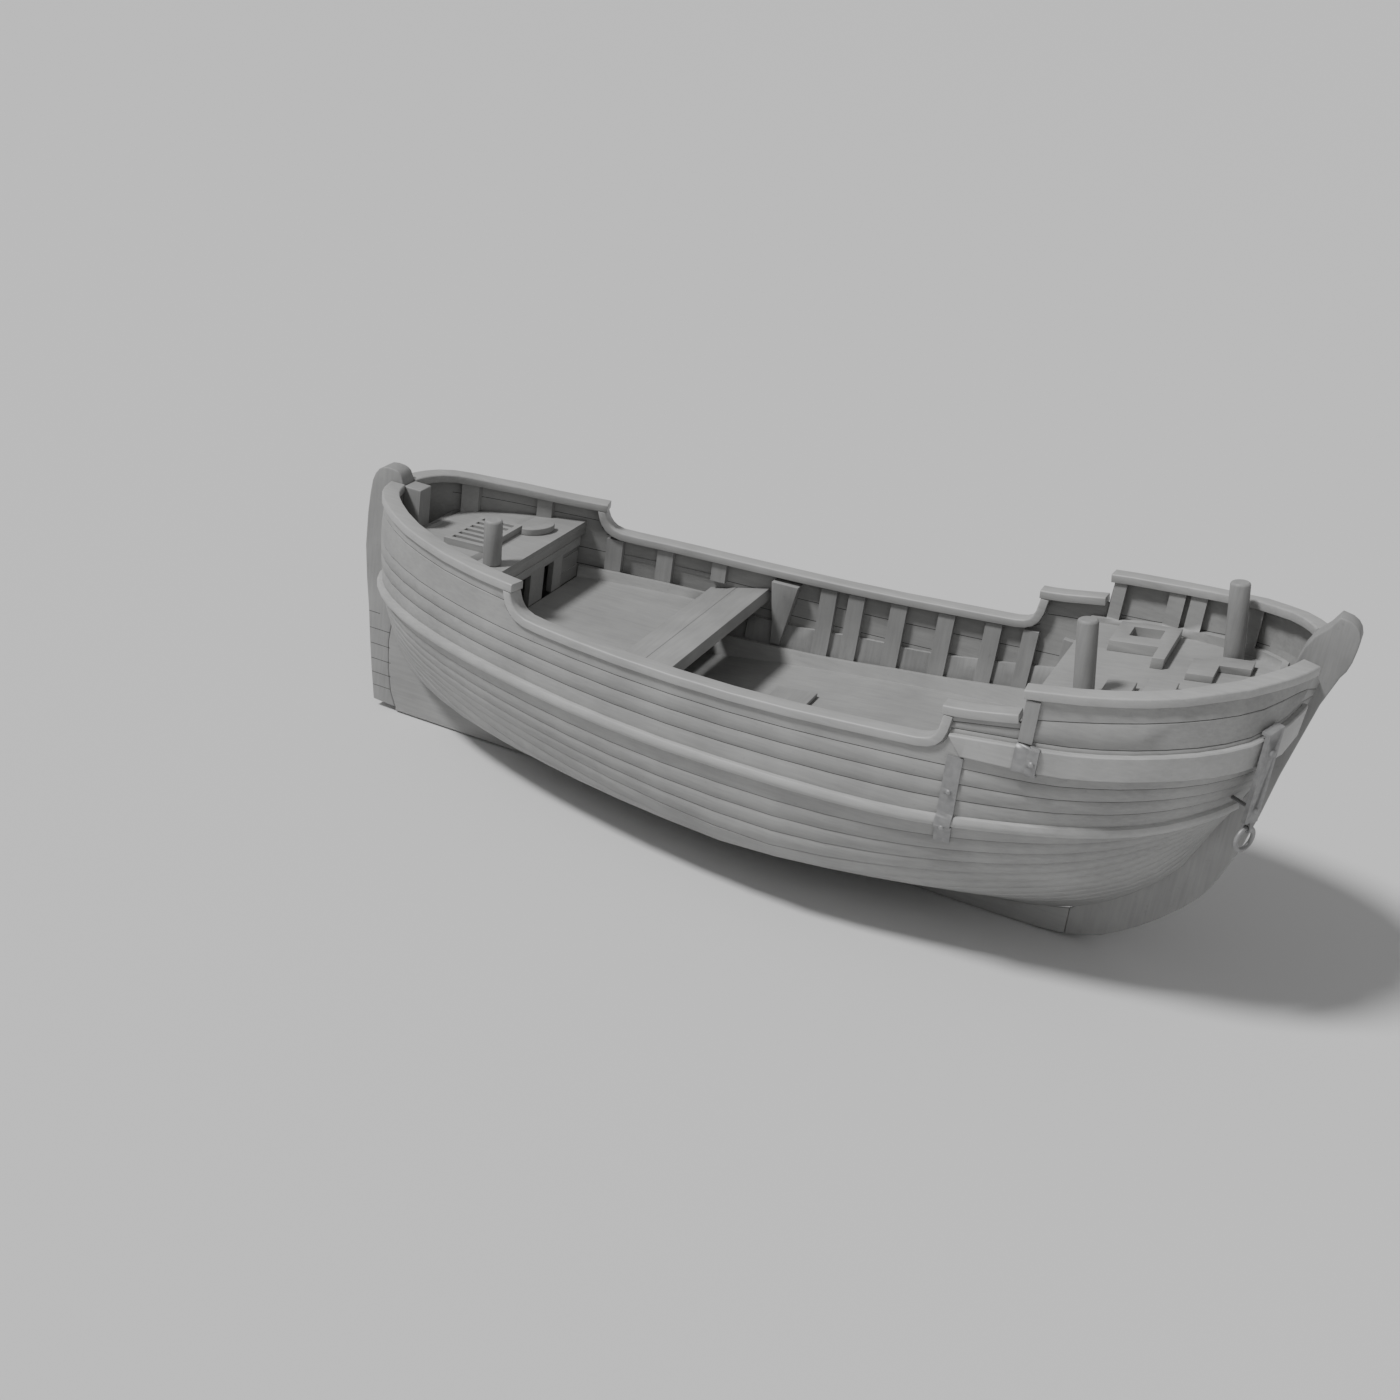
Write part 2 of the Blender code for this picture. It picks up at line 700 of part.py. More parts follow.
def dome(centre, axis, radius, height, segments=12):
    """Bolt head: a short cylinder with a rounded top, along an axis."""
    bm = bmesh.new()
    axis = Vector(axis).normalized()
    turn = axis.to_track_quat("Z", "Y").to_matrix().to_4x4()
    rings = []
    for share, rise in ((1.0, 0.0), (1.0, 0.45), (0.86, 0.75), (0.50, 0.95)):
        ring = []
        for k in range(segments):
            angle = 2.0 * math.pi * k / segments
            ring.append((radius * share * math.cos(angle), radius * share * math.sin(angle), height * rise))
        rings.append(ring)
    rows = [[bm.verts.new(Vector(centre) + turn @ Vector(point)) for point in ring] for ring in rings]
    for low, high in zip(rows, rows[1:]):
        for k in range(segments):
            following = (k + 1) % segments
            bm.faces.new((low[k], low[following], high[following], high[k]))
    tip = bm.verts.new(Vector(centre) + turn @ Vector((0.0, 0.0, height)))
    for k in range(segments):
        bm.faces.new((rows[-1][k], rows[-1][(k + 1) % segments], tip))
    bm.faces.new(list(reversed(rows[0])))
    return bm


def post(base, top, radius, segments=24):
    """Round post from base to top with a rounded edge at its top."""
    bm = bmesh.new()
    base, top = Vector(base), Vector(top)
    axis = (top - base).normalized()
    turn = axis.to_track_quat("Z", "Y").to_matrix()
    length = (top - base).length
    rows = []
    for share, rise in ((1.0, 0.0), (1.0, length - 0.018), (0.93, length - 0.006), (0.80, length)):
        row = []
        for k in range(segments):
            angle = 2.0 * math.pi * k / segments
            offset = Vector((radius * share * math.cos(angle), radius * share * math.sin(angle), rise))
            row.append(bm.verts.new(base + turn @ offset))
        rows.append(row)
    for low, high in zip(rows, rows[1:]):
        for k in range(segments):
            following = (k + 1) % segments
            bm.faces.new((low[k], low[following], high[following], high[k]))
    bm.faces.new(rows[-1])
    bm.faces.new(list(reversed(rows[0])))
    return bm


def torus(centre, axis, major, minor, major_segments=26, minor_segments=10):
    """Ring of round bar about an axis."""
    bm = bmesh.new()
    turn = Vector(axis).normalized().to_track_quat("Z", "Y").to_matrix()
    rows = []
    for i in range(major_segments):
        around = 2.0 * math.pi * i / major_segments
        row = []
        for k in range(minor_segments):
            about = 2.0 * math.pi * k / minor_segments
            reach = major + minor * math.cos(about)
            offset = Vector((reach * math.cos(around), reach * math.sin(around), minor * math.sin(about)))
            row.append(bm.verts.new(Vector(centre) + turn @ offset))
        rows.append(row)
    for i in range(major_segments):
        near, far = rows[i], rows[(i + 1) % major_segments]
        for k in range(minor_segments):
            following = (k + 1) % minor_segments
            bm.faces.new((near[k], far[k], far[following], near[following]))
    return bm


def slab(xs, ys, cells, floor_z, height, sunk=0.0):
    """Flat piece lying on a sloping deck, from the filled cells of a small grid."""
    def depth_of(i, j):
        return 1 if (i, j) in cells else 0

    def point_of(i, j, depth):
        return (xs[i], ys[j], floor_z(xs[i]) + GAP + depth)

    return cell_body(len(xs) - 1, len(ys) - 1, depth_of, point_of, (0.0 - sunk, height))


def deck_body(xs, ring_of):
    """Deck lofted along the boat; the ring gives (y, z) pairs of the port half, keel side last."""
    rings = []
    for x in xs:
        port = ring_of(PORT_PROBE, x)
        starboard = ring_of(STARBOARD_PROBE, x)
        ring = [Vector((x, y, z)) for y, z in port]
        ring += [Vector((x, -y, z)) for y, z in reversed(starboard)]
        rings.append(ring)
    return loft(rings)


def wall_block(probe, x_aft, x_fore, z_low, z_high, depth, z_step=0.07, back=WALL_BACK):
    """Upright timber against the planking, its top under the rail above it."""
    sign = probe.side.sign
    rings = []
    for share in spread(0.0, 1.0, z_step / max(z_high - z_low, z_step)):
        ring = []
        for x, inboard in ((x_aft, 0.0), (x_fore, 0.0), (x_fore, depth), (x_aft, depth)):
            z = z_low + (z_high - z_low) * share
            if share == 1.0:
                y_here = sign * probe.inner(x, z_high, back + inboard)
                z = probe.ceiling(x, y_here, z_high - 0.05) - 2.0 * GAP
            ring.append(Vector((x, sign * probe.inner(x, min(z, z_high), back + inboard), z)))
        rings.append(ring)
    return loft(rings)


def join_all(name, bodies, material):
    """One closed body from several overlapping ones."""
    base = finish(bodies[0], name, parts, material)
    for bm in bodies[1:]:
        unite(base, finish(bm, name + "_piece", parts, material))
    return settle(base)


def settle(thing):
    """Turn all faces of a finished object outward."""
    bm = bmesh.new()
    bm.from_mesh(thing.data)
    bmesh.ops.remove_doubles(bm, verts=bm.verts[:], dist=0.00005)
    bmesh.ops.dissolve_degenerate(bm, edges=bm.edges[:], dist=0.00002)
    bmesh.ops.recalc_face_normals(bm, faces=bm.faces[:])
    if bm.calc_volume(signed=True) < 0.0:
        bmesh.ops.reverse_faces(bm, faces=bm.faces[:])
    bm.to_mesh(thing.data)
    bm.free()
    return thing


# The scene starts empty
for item in list(bpy.data.objects):
    bpy.data.objects.remove(item)

parts = new_collection(OBJECT_NAME)
WOOD = plain_material("weathered_wood", (0.33, 0.33, 0.33), 0.55, 0.0)
IRON = plain_material("forged_iron", (0.30, 0.30, 0.31), 0.42, 0.75)

PORT = HullSide("port", 1.0)
STARBOARD = HullSide("starboard", -1.0)

# Backbone: keel with its after deadwood, stem, stern timber and inner post
KEEL_OUTLINE = (
    (-3.0230, -0.347), (-3.0230, -0.374), (-1.00, -0.378), (0.60, -0.382), (1.72, -0.380), (1.998, -0.374), (2.1607, -0.357),
    (2.1567, -0.160), (2.06, -0.185), (1.86, -0.214), (1.60, -0.236), (1.20, -0.246), (-1.60, -0.246),
    (-2.20, -0.230), (-2.45, -0.175), (-2.62, -0.080), (-2.76, 0.040), (-2.90, 0.200), (-2.960, 0.300),
    (-3.0200, 0.420), (-3.0828, 0.420), (-3.0944, 0.340), (-3.1050, 0.300), (-3.1190, 0.168),
    (-3.1050, -0.050), (-3.0730, -0.230),
)
finish(tri_fill(bevelled(prism(KEEL_OUTLINE, -SIDING_HALF, SIDING_HALF), 0.005)), "keel", parts, WOOD)

STEM_OUTLINE = (
    (2.1613, -0.357), (2.2750, -0.330), (2.390, -0.284), (2.508, -0.208), (2.620, -0.122), (2.731, -0.021),
    (2.845, 0.099), (2.935, 0.216), (2.990, 0.330), (3.036, 0.455), (3.089, 0.621), (3.145, 0.894),
    (3.191, 1.193), (3.244, 1.453), (3.296, 1.708), (3.332, 1.820), (3.361, 1.909), (3.386, 1.955),
    (3.403, 2.020), (3.4114, 2.100), (3.4112, 2.173), (3.396, 2.215), (3.370, 2.246), (3.333, 2.266),
    (3.266, 2.278), (3.223, 2.200), (3.152, 2.114), (3.118, 2.040), (3.093, 1.937), (3.080, 1.850),
    (3.048, 1.650), (3.018, 1.420), (2.960, 1.125), (2.880, 0.900), (2.795, 0.727), (2.690, 0.500),
    (2.600, 0.330), (2.470, 0.160), (2.350, 0.040), (2.240, -0.080), (2.1573, -0.159),
)
finish(tri_fill(bevelled(prism(STEM_OUTLINE, -SIDING_HALF, SIDING_HALF), 0.006)), "stem", parts, WOOD)

POST_OUTLINE = (
    (-3.0236, -0.347), (-3.2170, -0.334), (-3.2550, -0.080), (-3.2830, 0.150), (-3.3070, 0.382),
    (-3.3400, 0.620), (-3.3650, 0.866), (-3.3630, 1.120), (-3.3520, 1.280), (-3.3400, 1.374),
    (-3.3200, 1.430), (-3.2920, 1.470), (-3.2560, 1.494), (-3.2100, 1.500), (-3.1640, 1.497),
    (-3.1330, 1.487), (-3.1130, 1.472), (-3.0960, 1.437), (-3.0820, 1.390), (-3.0820, 0.430),
    (-3.0950, 0.340), (-3.1056, 0.300), (-3.1196, 0.168), (-3.1056, -0.050), (-3.0736, -0.230),
)
finish(tri_fill(bevelled(prism(POST_OUTLINE, -SIDING_HALF, SIDING_HALF), 0.006)), "sternpost", parts, WOOD)
INNER_POST_OUTLINE = (
    (-3.0816, 1.398), (-3.0816, 0.800), (-3.040, 0.760), (-2.970, 0.760), (-2.938, 0.800),
    (-2.938, 1.398),
)
finish(tri_fill(bevelled(prism(INNER_POST_OUTLINE, -SIDING_HALF, SIDING_HALF), 0.006)), "inner_post", parts, WOOD)

# Planking, rails and outside timbers of both sides
for side in (PORT, STARBOARD):
    count = len(side.shares)
    everything = range(count)
    bottom_range = [i for i in everything if side.outer[i]["strake"] - side.outer[i]["rabbet"] > 0.03]
    tag = "_" + side.name
    finish(loft([bottom_ring(side, i) for i in bottom_range]), "bottom_planks" + tag, parts, WOOD)
    finish(loft([topside_ring(side, i) for i in everything]), "topside_planks" + tag, parts, WOOD)
    drop_start = side.index(side.drop)
    drop_end = side.index(side.drop + DROP_SHAPE[-1][0])
    rise_start = side.index(RISE_SHAPE[0][0])
    rise_end = side.index(RISE_SHAPE[-1][0])
    aft_range = range(0, drop_end)
    fore_range = range(rise_start, count)
    finish(loft([bulwark_ring(side, i, stern_seams()) for i in aft_range]), "stern_bulwark" + tag, parts, WOOD)
    finish(loft([bulwark_ring(side, i, bow_seams(side, i)) for i in fore_range]), "bow_bulwark" + tag, parts,
           WOOD)
    strake_range = range(0, side.index(3.000) + 1)
    finish(loft([strake_ring(side, i) for i in strake_range]), "rubbing_strake" + tag, parts, WOOD)
    wale_range = range(rise_end, side.index(3.035) + 1)
    wale_rings = [wale_cut(side, wale_range[0], WALE_AFT_SEAT, WALE_AFT_SHARES)]
    wale_rings += [wale_ring(side, i) for i in wale_range[1:]]
    wale_rings.append(wale_cut(side, wale_range[-1], WALE_FORE_SEAT, WALE_FORE_SHARES))
    finish(loft(wale_rings), "bow_wale" + tag, parts, WOOD)

    stern_range = range(0, side.index(side.drop + DROP_SHAPE[3][0]) + 1)
    heights = [z_on_line(side.shares[i], stern_top_z) for i in stern_range]
    finish(loft(cap_rings(side, stern_range, heights)), "stern_cap" + tag, parts, WOOD)
    middle_range = range(drop_start, rise_end + 1)
    heights = [side.top(i) for i in middle_range]
    finish(loft(cap_rings(side, middle_range, heights, True)), "midship_cap" + tag, parts, WOOD)
    quarter_range = range(side.index(1.300), side.index(1.755) + 1)
    heights = [z_on_line(side.shares[i], quarter_top_z) for i in quarter_range]
    finish(loft(cap_rings(side, quarter_range, heights)), "quarter_cap" + tag, parts, WOOD)
    bow_range = range(side.index(1.755), side.index(3.035) + 1)
    heights = [z_on_line(side.shares[i], bow_top_z) for i in bow_range]
    finish(loft(cap_rings(side, bow_range, heights)), "bow_cap" + tag, parts, WOOD)

HULL_NAMES = ("bottom_planks", "topside_planks", "stern_bulwark", "bow_bulwark")
OUTSIDE_NAMES = HULL_NAMES + ("rubbing_strake", "bow_wale")
CAP_NAMES = ("stern_cap", "midship_cap", "quarter_cap", "bow_cap")
PORT_PROBE = Probe(PORT, HULL_NAMES)
STARBOARD_PROBE = Probe(STARBOARD, HULL_NAMES)
PROBES = (PORT_PROBE, STARBOARD_PROBE)


# Decks and floors, each a plane given by its height over x
def fore_floor_z(x):
    """Top of the forward floor."""
    return 0.490 + 0.115 * x


def aft_floor_z(x):
    """Top of the after floor."""
    return 0.745 + 0.020 * (x + 1.60)


def stern_deck_z(x):
    """Top of the stern deck."""
    return 1.130 + 0.050 * (x + 2.50)


def foredeck_z(x):
    """Top of the foredeck."""
    return 1.385 + 0.155 * (x - 1.70)


FLOOR_THICK = 0.035
DECK_THICK = 0.040
FOREDECK_THICK = 0.050
BOARD_THICK = 0.030
BOARD_BACK = RIB_DEPTH + 0.005

# Ribs: centre along the boat, half width, whether the rib starts above the platform
Rib = namedtuple("Rib", "x half low")
AFT_RIBS = (Rib(-1.81, 0.060, 0.775), Rib(-1.43, 0.060, 0.775), Rib(-1.02, 0.055, 0.915))
FORE_RIBS = (
    Rib(-0.183, 0.060, 0.0), Rib(0.025, 0.060, 0.0), Rib(0.340, 0.060, 0.0), Rib(0.690, 0.060, 0.0),
    Rib(1.030, 0.060, 0.0), Rib(1.295, 0.055, 0.0), Rib(1.580, 0.055, 0.0),
)
LEDGE_LINE = ((-0.76, 0.710), (-0.45, 0.710), (-0.26, 0.727), (0.23, 0.775), (0.50, 0.791), (0.83, 0.838),
              (1.19, 0.905), (1.64, 1.000))
BOARD_TOP_LINE = ((-1.00, 0.541), (-0.91, 0.542), (-0.63, 0.543), (-0.33, 0.555), (-0.02, 0.578), (0.43, 0.633),
                  (0.73, 0.670), (1.35, 0.777), (1.62, 0.826))
ledge_z = smooth_line(LEDGE_LINE)
board_top_z = smooth_line(BOARD_TOP_LINE)
AFT_STRIP_LOW = 0.775
AFT_STRIP_HIGH = 0.800
TIE_LOW = 0.915
TIE_HIGH = 0.945
TIE_DEPTH = 0.006


def rib_edges(ribs):
    """Fore-and-aft places of the ribs' edges."""
    edges = []
    for rib in ribs:
        edges += [rib.x - rib.half, rib.x + rib.half]
    return edges


def inside_rib(ribs, x):
    """Whether a place is within one of the ribs."""
    return any(abs(x - rib.x) < rib.half for rib in ribs)


for probe in PROBES:
    tag = "_" + probe.side.name
    xs = sorted(rib_edges(FORE_RIBS) + [-0.76, -0.60, -0.45, -0.32, 0.18, 0.51, 0.86, 1.162, 1.45, 1.64])

    def fore_rows(x):
        low, ledge = board_top_z(x) - 0.030, ledge_z(x)
        top = min(sheer_z(x), 1.205) - 0.006
        return [low, 0.5 * (low + ledge), ledge, ledge + (top - ledge) * 0.35, ledge + (top - ledge) * 0.70, top]

    def fore_depth(i, j):
        middle = 0.5 * (xs[i] + xs[i + 1])
        if inside_rib(FORE_RIBS, middle):
            return 2
        return 1 if j < 2 else 0

    relief("ribs_forward" + tag, probe, xs, fore_rows, fore_depth, (0.0, CEILING_DEPTH, RIB_DEPTH), RIB_BACK)

    aft_xs = sorted(rib_edges(AFT_RIBS) + [-1.62, -1.25])
    aft_zs = [AFT_STRIP_LOW, AFT_STRIP_HIGH, TIE_LOW, TIE_HIGH]

    def aft_rows(x):
        return aft_zs + [sheer_z(x) - 0.006]

    def aft_depth(i, j):
        middle = 0.5 * (aft_xs[i] + aft_xs[i + 1])
        if inside_rib(AFT_RIBS, middle):
            return 2 if middle < -1.1 or j >= 2 else 0
        if j == 2:
            return 1
        return 0

    relief("ribs_aft" + tag, probe, aft_xs, aft_rows, aft_depth, (0.0, TIE_DEPTH, RIB_DEPTH), WALL_BACK)

    # Upright board beside the step platform
    rings = []
    for z, aft, fore, depth, back in (
        (0.560, -0.550, -0.482, 0.060, CEILING_DEPTH + 0.003), (0.7122, -0.562, -0.460, 0.072, CEILING_DEPTH + 0.003),
        (0.7132, -0.562, -0.460, 0.072, WALL_BACK), (0.880, -0.583, -0.428, 0.088, WALL_BACK),
        (1.042, -0.600, -0.400, 0.100, WALL_BACK),
    ):
        ring = [(aft, back), (fore, back), (fore, depth), (aft, depth)]
        rings.append([Vector((x, probe.side.sign * probe.inner(x, z, inset), z)) for x, inset in ring])
    finish(bevelled(loft(rings), 0.004), "side_board" + tag, parts, WOOD)

# Step platform across the boat, its lower after edge resting on the after floor
PLATFORM_OUTLINE = (
    (-1.080, 0.842), (-0.891, 0.8885), (-0.885, 0.882), (-0.879, 0.8905), (-0.640, 0.948),
    (-0.620, 0.8655), (-0.850, 0.8085), (-1.060, aft_floor_z(-1.060) + GAP),
)
bm = bmesh.new()
left = [bm.verts.new((x, PORT_PROBE.inner(x, z, WALL_BACK), z)) for x, z in PLATFORM_OUTLINE]
right = [bm.verts.new((x, -STARBOARD_PROBE.inner(x, z, WALL_BACK), z)) for x, z in PLATFORM_OUTLINE]
for k in range(len(left)):
    following = (k + 1) % len(left)
    bm.faces.new((left[k], left[following], right[following], right[k]))
caps = [bm.faces.new(left), bm.faces.new(list(reversed(right)))]
bm.normal_update()
bmesh.ops.triangulate(bm, faces=caps)
finish(bm, "step_platform", parts, WOOD)


def fore_floor_ring(probe, x):
    """Floor and upright side board of one side, forward well."""
    floor, top = fore_floor_z(x), board_top_z(x)
    low = floor - FLOOR_THICK
    return [
        (probe.inner(x, low, WALL_BACK), low), (probe.inner(x, floor, WALL_BACK), floor),
        (probe.inner(x, floor, BOARD_BACK + 0.004), floor),
        (probe.inner(x, top, BOARD_BACK), top), (probe.inner(x, top, BOARD_BACK + BOARD_THICK), top),
        (probe.inner(x, floor, BOARD_BACK + BOARD_THICK), floor),
    ]


xs = spread(-1.00, 1.62, 0.16, rib_edges(FORE_RIBS))
finish(deck_body(xs, fore_floor_ring), "forward_floor", parts, WOOD)


def aft_floor_ring(probe, x):
    """Floor and upright side board of one side, after well."""
    floor = aft_floor_z(x)
    top = 0.819 if x < -1.088 else floor + 0.004
    low = floor - FLOOR_THICK
    return [
        (probe.inner(x, low, WALL_BACK), low), (probe.inner(x, floor, WALL_BACK), floor),
        (probe.inner(x, floor, BOARD_BACK + 0.004), floor),
        (probe.inner(x, top, BOARD_BACK), top), (probe.inner(x, top, BOARD_BACK + BOARD_THICK), top),
        (probe.inner(x, floor, BOARD_BACK + BOARD_THICK), floor),
    ]


xs = spread(-2.045, -1.0885, 0.16, rib_edges(AFT_RIBS))
finish(deck_body(xs, aft_floor_ring), "aft_floor", parts, WOOD)

bm = slab((-0.27, 0.03), (-0.49, 0.49), {(0, 0)}, fore_floor_z, 0.035)
finish(bevelled(bm, 0.004), "mast_step", parts, WOOD)


def stern_deck_ring(probe, x):
    """Plain edge of the stern deck."""
    top = stern_deck_z(x)
    return [(probe.inner(x, top - DECK_THICK, WALL_BACK), top - DECK_THICK), (probe.inner(x, top, WALL_BACK), top)]


CAP_PROBES = [Probe(side, HULL_NAMES + CAP_NAMES) for side in (PORT, STARBOARD)]
bodies = [deck_body(spread(-2.9377, -2.050, 0.12), stern_deck_ring)]
for probe in CAP_PROBES:
    for x in (-2.835, -2.340):
        bodies.append(wall_block(probe, x - 0.052, x + 0.052, stern_deck_z(x) - 0.018, stern_top_z(x) - 0.012,
                                 0.048, back=0.0024))
join_all("stern_deck", bodies, WOOD)

bm = bmesh.new()
corners = []
for x, z in ((-2.130, 1.050), (-2.050, 1.050), (-2.050, stern_deck_z(-2.050) - DECK_THICK - GAP),
             (-2.130, stern_deck_z(-2.130) - DECK_THICK - GAP)):
    corners.append((bm.verts.new((x, PORT_PROBE.inner(x, z, GAP), z)),
                    bm.verts.new((x, -STARBOARD_PROBE.inner(x, z, GAP), z))))
for k in range(4):
    near, far = corners[k], corners[(k + 1) % 4]
    bm.faces.new((near[0], far[0], far[1], near[1]))
bm.faces.new([pair[0] for pair in corners])
bm.faces.new([pair[1] for pair in reversed(corners)])
finish(bm, "stern_beam", parts, WOOD)

BULKHEAD_X = (-2.090, -2.050)
PANEL_YS = (-0.750, -0.345, -0.200, 0.0, 0.200, 0.345, 0.480, 0.750)
BULKHEAD_ZS = (aft_floor_z(-2.045) + 0.002, 0.835, 0.945, 0.985, 1.050 - GAP)
PANEL_DEPTHS = (0.0, 0.026, 0.033, 0.040, 0.044)


def bulkhead_depth(i, j):
    """Thickness level of a bulkhead cell: two openings, posts, lapped planks and the top rail."""
    if i in (2, 4) and j < 3:
        return 0
    if j == 3 or i in (1, 3, 5):
        return 4
    return 3 - j


def bulkhead_point(i, j, depth):
    """Corner of a bulkhead cell."""
    return (BULKHEAD_X[0] + depth, PANEL_YS[i], BULKHEAD_ZS[j])


finish(cell_body(len(PANEL_YS) - 1, len(BULKHEAD_ZS) - 1, bulkhead_depth, bulkhead_point, PANEL_DEPTHS),
       "stern_bulkhead", parts, WOOD)

# Loose-laid pieces on the stern deck
slot_count, bar, border = 6, 0.036, 0.040
hatch_ys = [-0.21, -0.21 + border]
slot = (0.54 - 2.0 * border - (slot_count - 1) * bar) / slot_count
for k in range(slot_count):
    hatch_ys.append(hatch_ys[-1] + slot)
    if k < slot_count - 1:
        hatch_ys.append(hatch_ys[-1] + bar)
hatch_ys.append(0.33)
hatch_xs = (-2.65, -2.61, -2.36, -2.32)
cells = {(i, j) for i in range(3) for j in range(len(hatch_ys) - 1)}
cells -= {(1, 1 + 2 * k) for k in range(slot_count)}
finish(slab(hatch_xs, hatch_ys, cells, stern_deck_z, 0.050), "grating_hatch", parts, WOOD)


def half_round(middle, turn, half_chord, bulge, floor_z, height, cuts=14):
    """Solid slab with a straight side and a bulged one, laid on a sloping floor."""
    bm = bmesh.new()
    along = Vector((math.cos(turn), math.sin(turn)))
    away = Vector((along.y, -along.x))
    spots = []
    for k in range(cuts + 1):
        angle = math.pi * k / cuts
        spots.append(Vector(middle) - along * half_chord * math.cos(angle) + away * bulge * math.sin(angle))
    feet = [bm.verts.new((spot.x, spot.y, floor_z(spot.x) + GAP)) for spot in spots]
    tops = [bm.verts.new((spot.x, spot.y, floor_z(spot.x) + GAP + height)) for spot in spots]
    bm.faces.new(list(reversed(feet)))
    bm.faces.new(tops)
    for k in range(len(spots)):
        n = (k + 1) % len(spots)
        bm.faces.new((feet[k], feet[n], tops[n], tops[k]))
    bmesh.ops.recalc_face_normals(bm, faces=bm.faces[:])
    return bm


PAD_MIDDLE, PAD_TURN = (-2.2375, 0.404), math.radians(63.0)
finish(tri_fill(bevelled(half_round(PAD_MIDDLE, PAD_TURN, 0.140, 0.085, stern_deck_z, 0.050), 0.004)), "stern_pad",
       parts, WOOD)


def deck_post(name, deck_z, x, y, top, radius):
    """Round post standing on a sloping deck."""
    base = Vector((x, y, deck_z(x)))
    top = Vector(top)
    axis = (top - base).normalized()
    slope = deck_z(1.0) - deck_z(0.0)
    bm = post(base, top, radius)
    for vertex in bm.verts:
        if (vertex.co - base).dot(axis) < 0.01:
            vertex.co.z = deck_z(vertex.co.x) + GAP
    finish(bm, name, parts, WOOD)


deck_post("stern_bollard", stern_deck_z, -2.176, -0.358, (-2.192, -0.358, 1.470), 0.064)


def waterway_top(x):
    """Top of the raised deck edge."""
    return foredeck_z(x) + WATERWAY_RISE(x)


WATERWAY_RISE = smooth_line(((1.62, 0.033), (1.86, 0.036), (2.13, 0.050), (2.40, 0.058), (2.57, 0.061),
                             (3.03, 0.061)))
WATERWAY_WIDE = 0.052


def foredeck_ring(probe, x):
    """Foredeck edge with its raised waterway."""
    top, rail = foredeck_z(x), waterway_top(x)
    low = top - FOREDECK_THICK
    edge = probe.inner(x, rail, DECK_BACK + WATERWAY_WIDE)
    return [(probe.inner(x, low, DECK_BACK), low), (probe.inner(x, top, DECK_BACK), top),
            (probe.inner(x, rail, DECK_BACK), rail), (edge, rail), (edge - 0.002, top)]


FOREDECK_XS = spread(1.670, 2.50, 0.10) + spread(2.55, 3.024, 0.045)
bodies = [deck_body(FOREDECK_XS, foredeck_ring)]
for probe in CAP_PROBES:
    for x_aft, x_fore in ((1.776, 1.859), (2.150, 2.260), (2.295, 2.405), (2.675, 2.785)):
        bodies.append(wall_block(probe, x_aft, x_fore, foredeck_z(x_fore) - 0.012,
                                 bow_top_z(x_aft) - 0.016, 0.048, back=0.0032))
join_all("foredeck", bodies, WOOD)

bm = bmesh.new()
corners = []
for x, z in ((1.672, 1.220), (1.750, 1.220), (1.750, foredeck_z(1.750) - FOREDECK_THICK - GAP),
             (1.672, foredeck_z(1.672) - FOREDECK_THICK - GAP)):
    corners.append((bm.verts.new((x, PORT_PROBE.inner(x, z, GAP), z)),
                    bm.verts.new((x, -STARBOARD_PROBE.inner(x, z, GAP), z))))
for k in range(4):
    near, far = corners[k], corners[(k + 1) % 4]
    bm.faces.new((near[0], far[0], far[1], near[1]))
bm.faces.new([pair[0] for pair in corners])
bm.faces.new([pair[1] for pair in reversed(corners)])
finish(bm, "foredeck_beam", parts, WOOD)

deck_post("bow_bollard_aft", foredeck_z, 1.960, -0.340, (1.878, -0.340, 1.945), 0.066)
deck_post("bow_bollard_fore", foredeck_z, 2.684, 0.680, (2.600, 0.680, 2.066), 0.066)

P_XS = (1.90, 2.00, 2.20, 2.22, 2.30)
P_YS = (0.34, 0.55, 0.69, 0.87, 0.945)
p_cells = {(i, j) for i in range(4) for j in range(1, 4)} - {(1, 2)}
p_cells.add((3, 0))
finish(slab(P_XS, P_YS, p_cells, foredeck_z, 0.075), "deck_frame", parts, WOOD)
T_XS = (2.46, 2.60, 2.63, 2.83)
T_YS = (0.22, 0.43, 0.51, 0.59)
t_cells = {(0, 0), (1, 0), (0, 1), (1, 1), (2, 1), (1, 2), (2, 2)}
finish(slab(T_XS, T_YS, t_cells, foredeck_z, 0.050), "deck_chock", parts, WOOD)
for name, x_aft, x_fore, y_low, y_high in (
    ("deck_pad_aft", 2.04, 2.22, -0.60, -0.05), ("deck_pad_fore", 2.27, 2.46, -0.55, 0.04),
):
    bm = slab((x_aft, x_fore), (y_low, y_high), {(0, 0)}, foredeck_z, 0.050)
    finish(bevelled(bm, 0.004), name, parts, WOOD)

# Irons and the outside posts
IRON_THICK = 0.010
RING_MAJOR = 0.075
RING_MINOR = 0.0155
LUG_HOLE = 0.0190
LUG_RADIUS = 0.036
LUG_HALF = 0.010
LUG_Z = 1.072
RING_DROP = 0.0022
IRON_AWAY = Vector((0.854, 0.520, 0.0)).normalized()
IRON_ALONG = Vector((0.520, -0.854, 0.0)).normalized()


def iron_point(sign, along, away, z):
    """Point in the bow iron's own upright frame."""
    spot = IRON_ALONG * along + IRON_AWAY * away
    return Vector((spot.x, spot.y * sign, z))


IRON_MID = 1.0675
IRON_HALF = 0.0575
IRON_BACK = 2.9880
IRON_FRONT = 3.0180
IRON_LOW = 1.110
IRON_HOOK = 2.9580
IRON_TOP = 1.722
IRON_RISE = 0.38
LUG_AWAY = 0.5 * (IRON_BACK + IRON_FRONT)
UPPER_BOLT_Z = 1.579
LOWER_BOLT_Z = 1.195

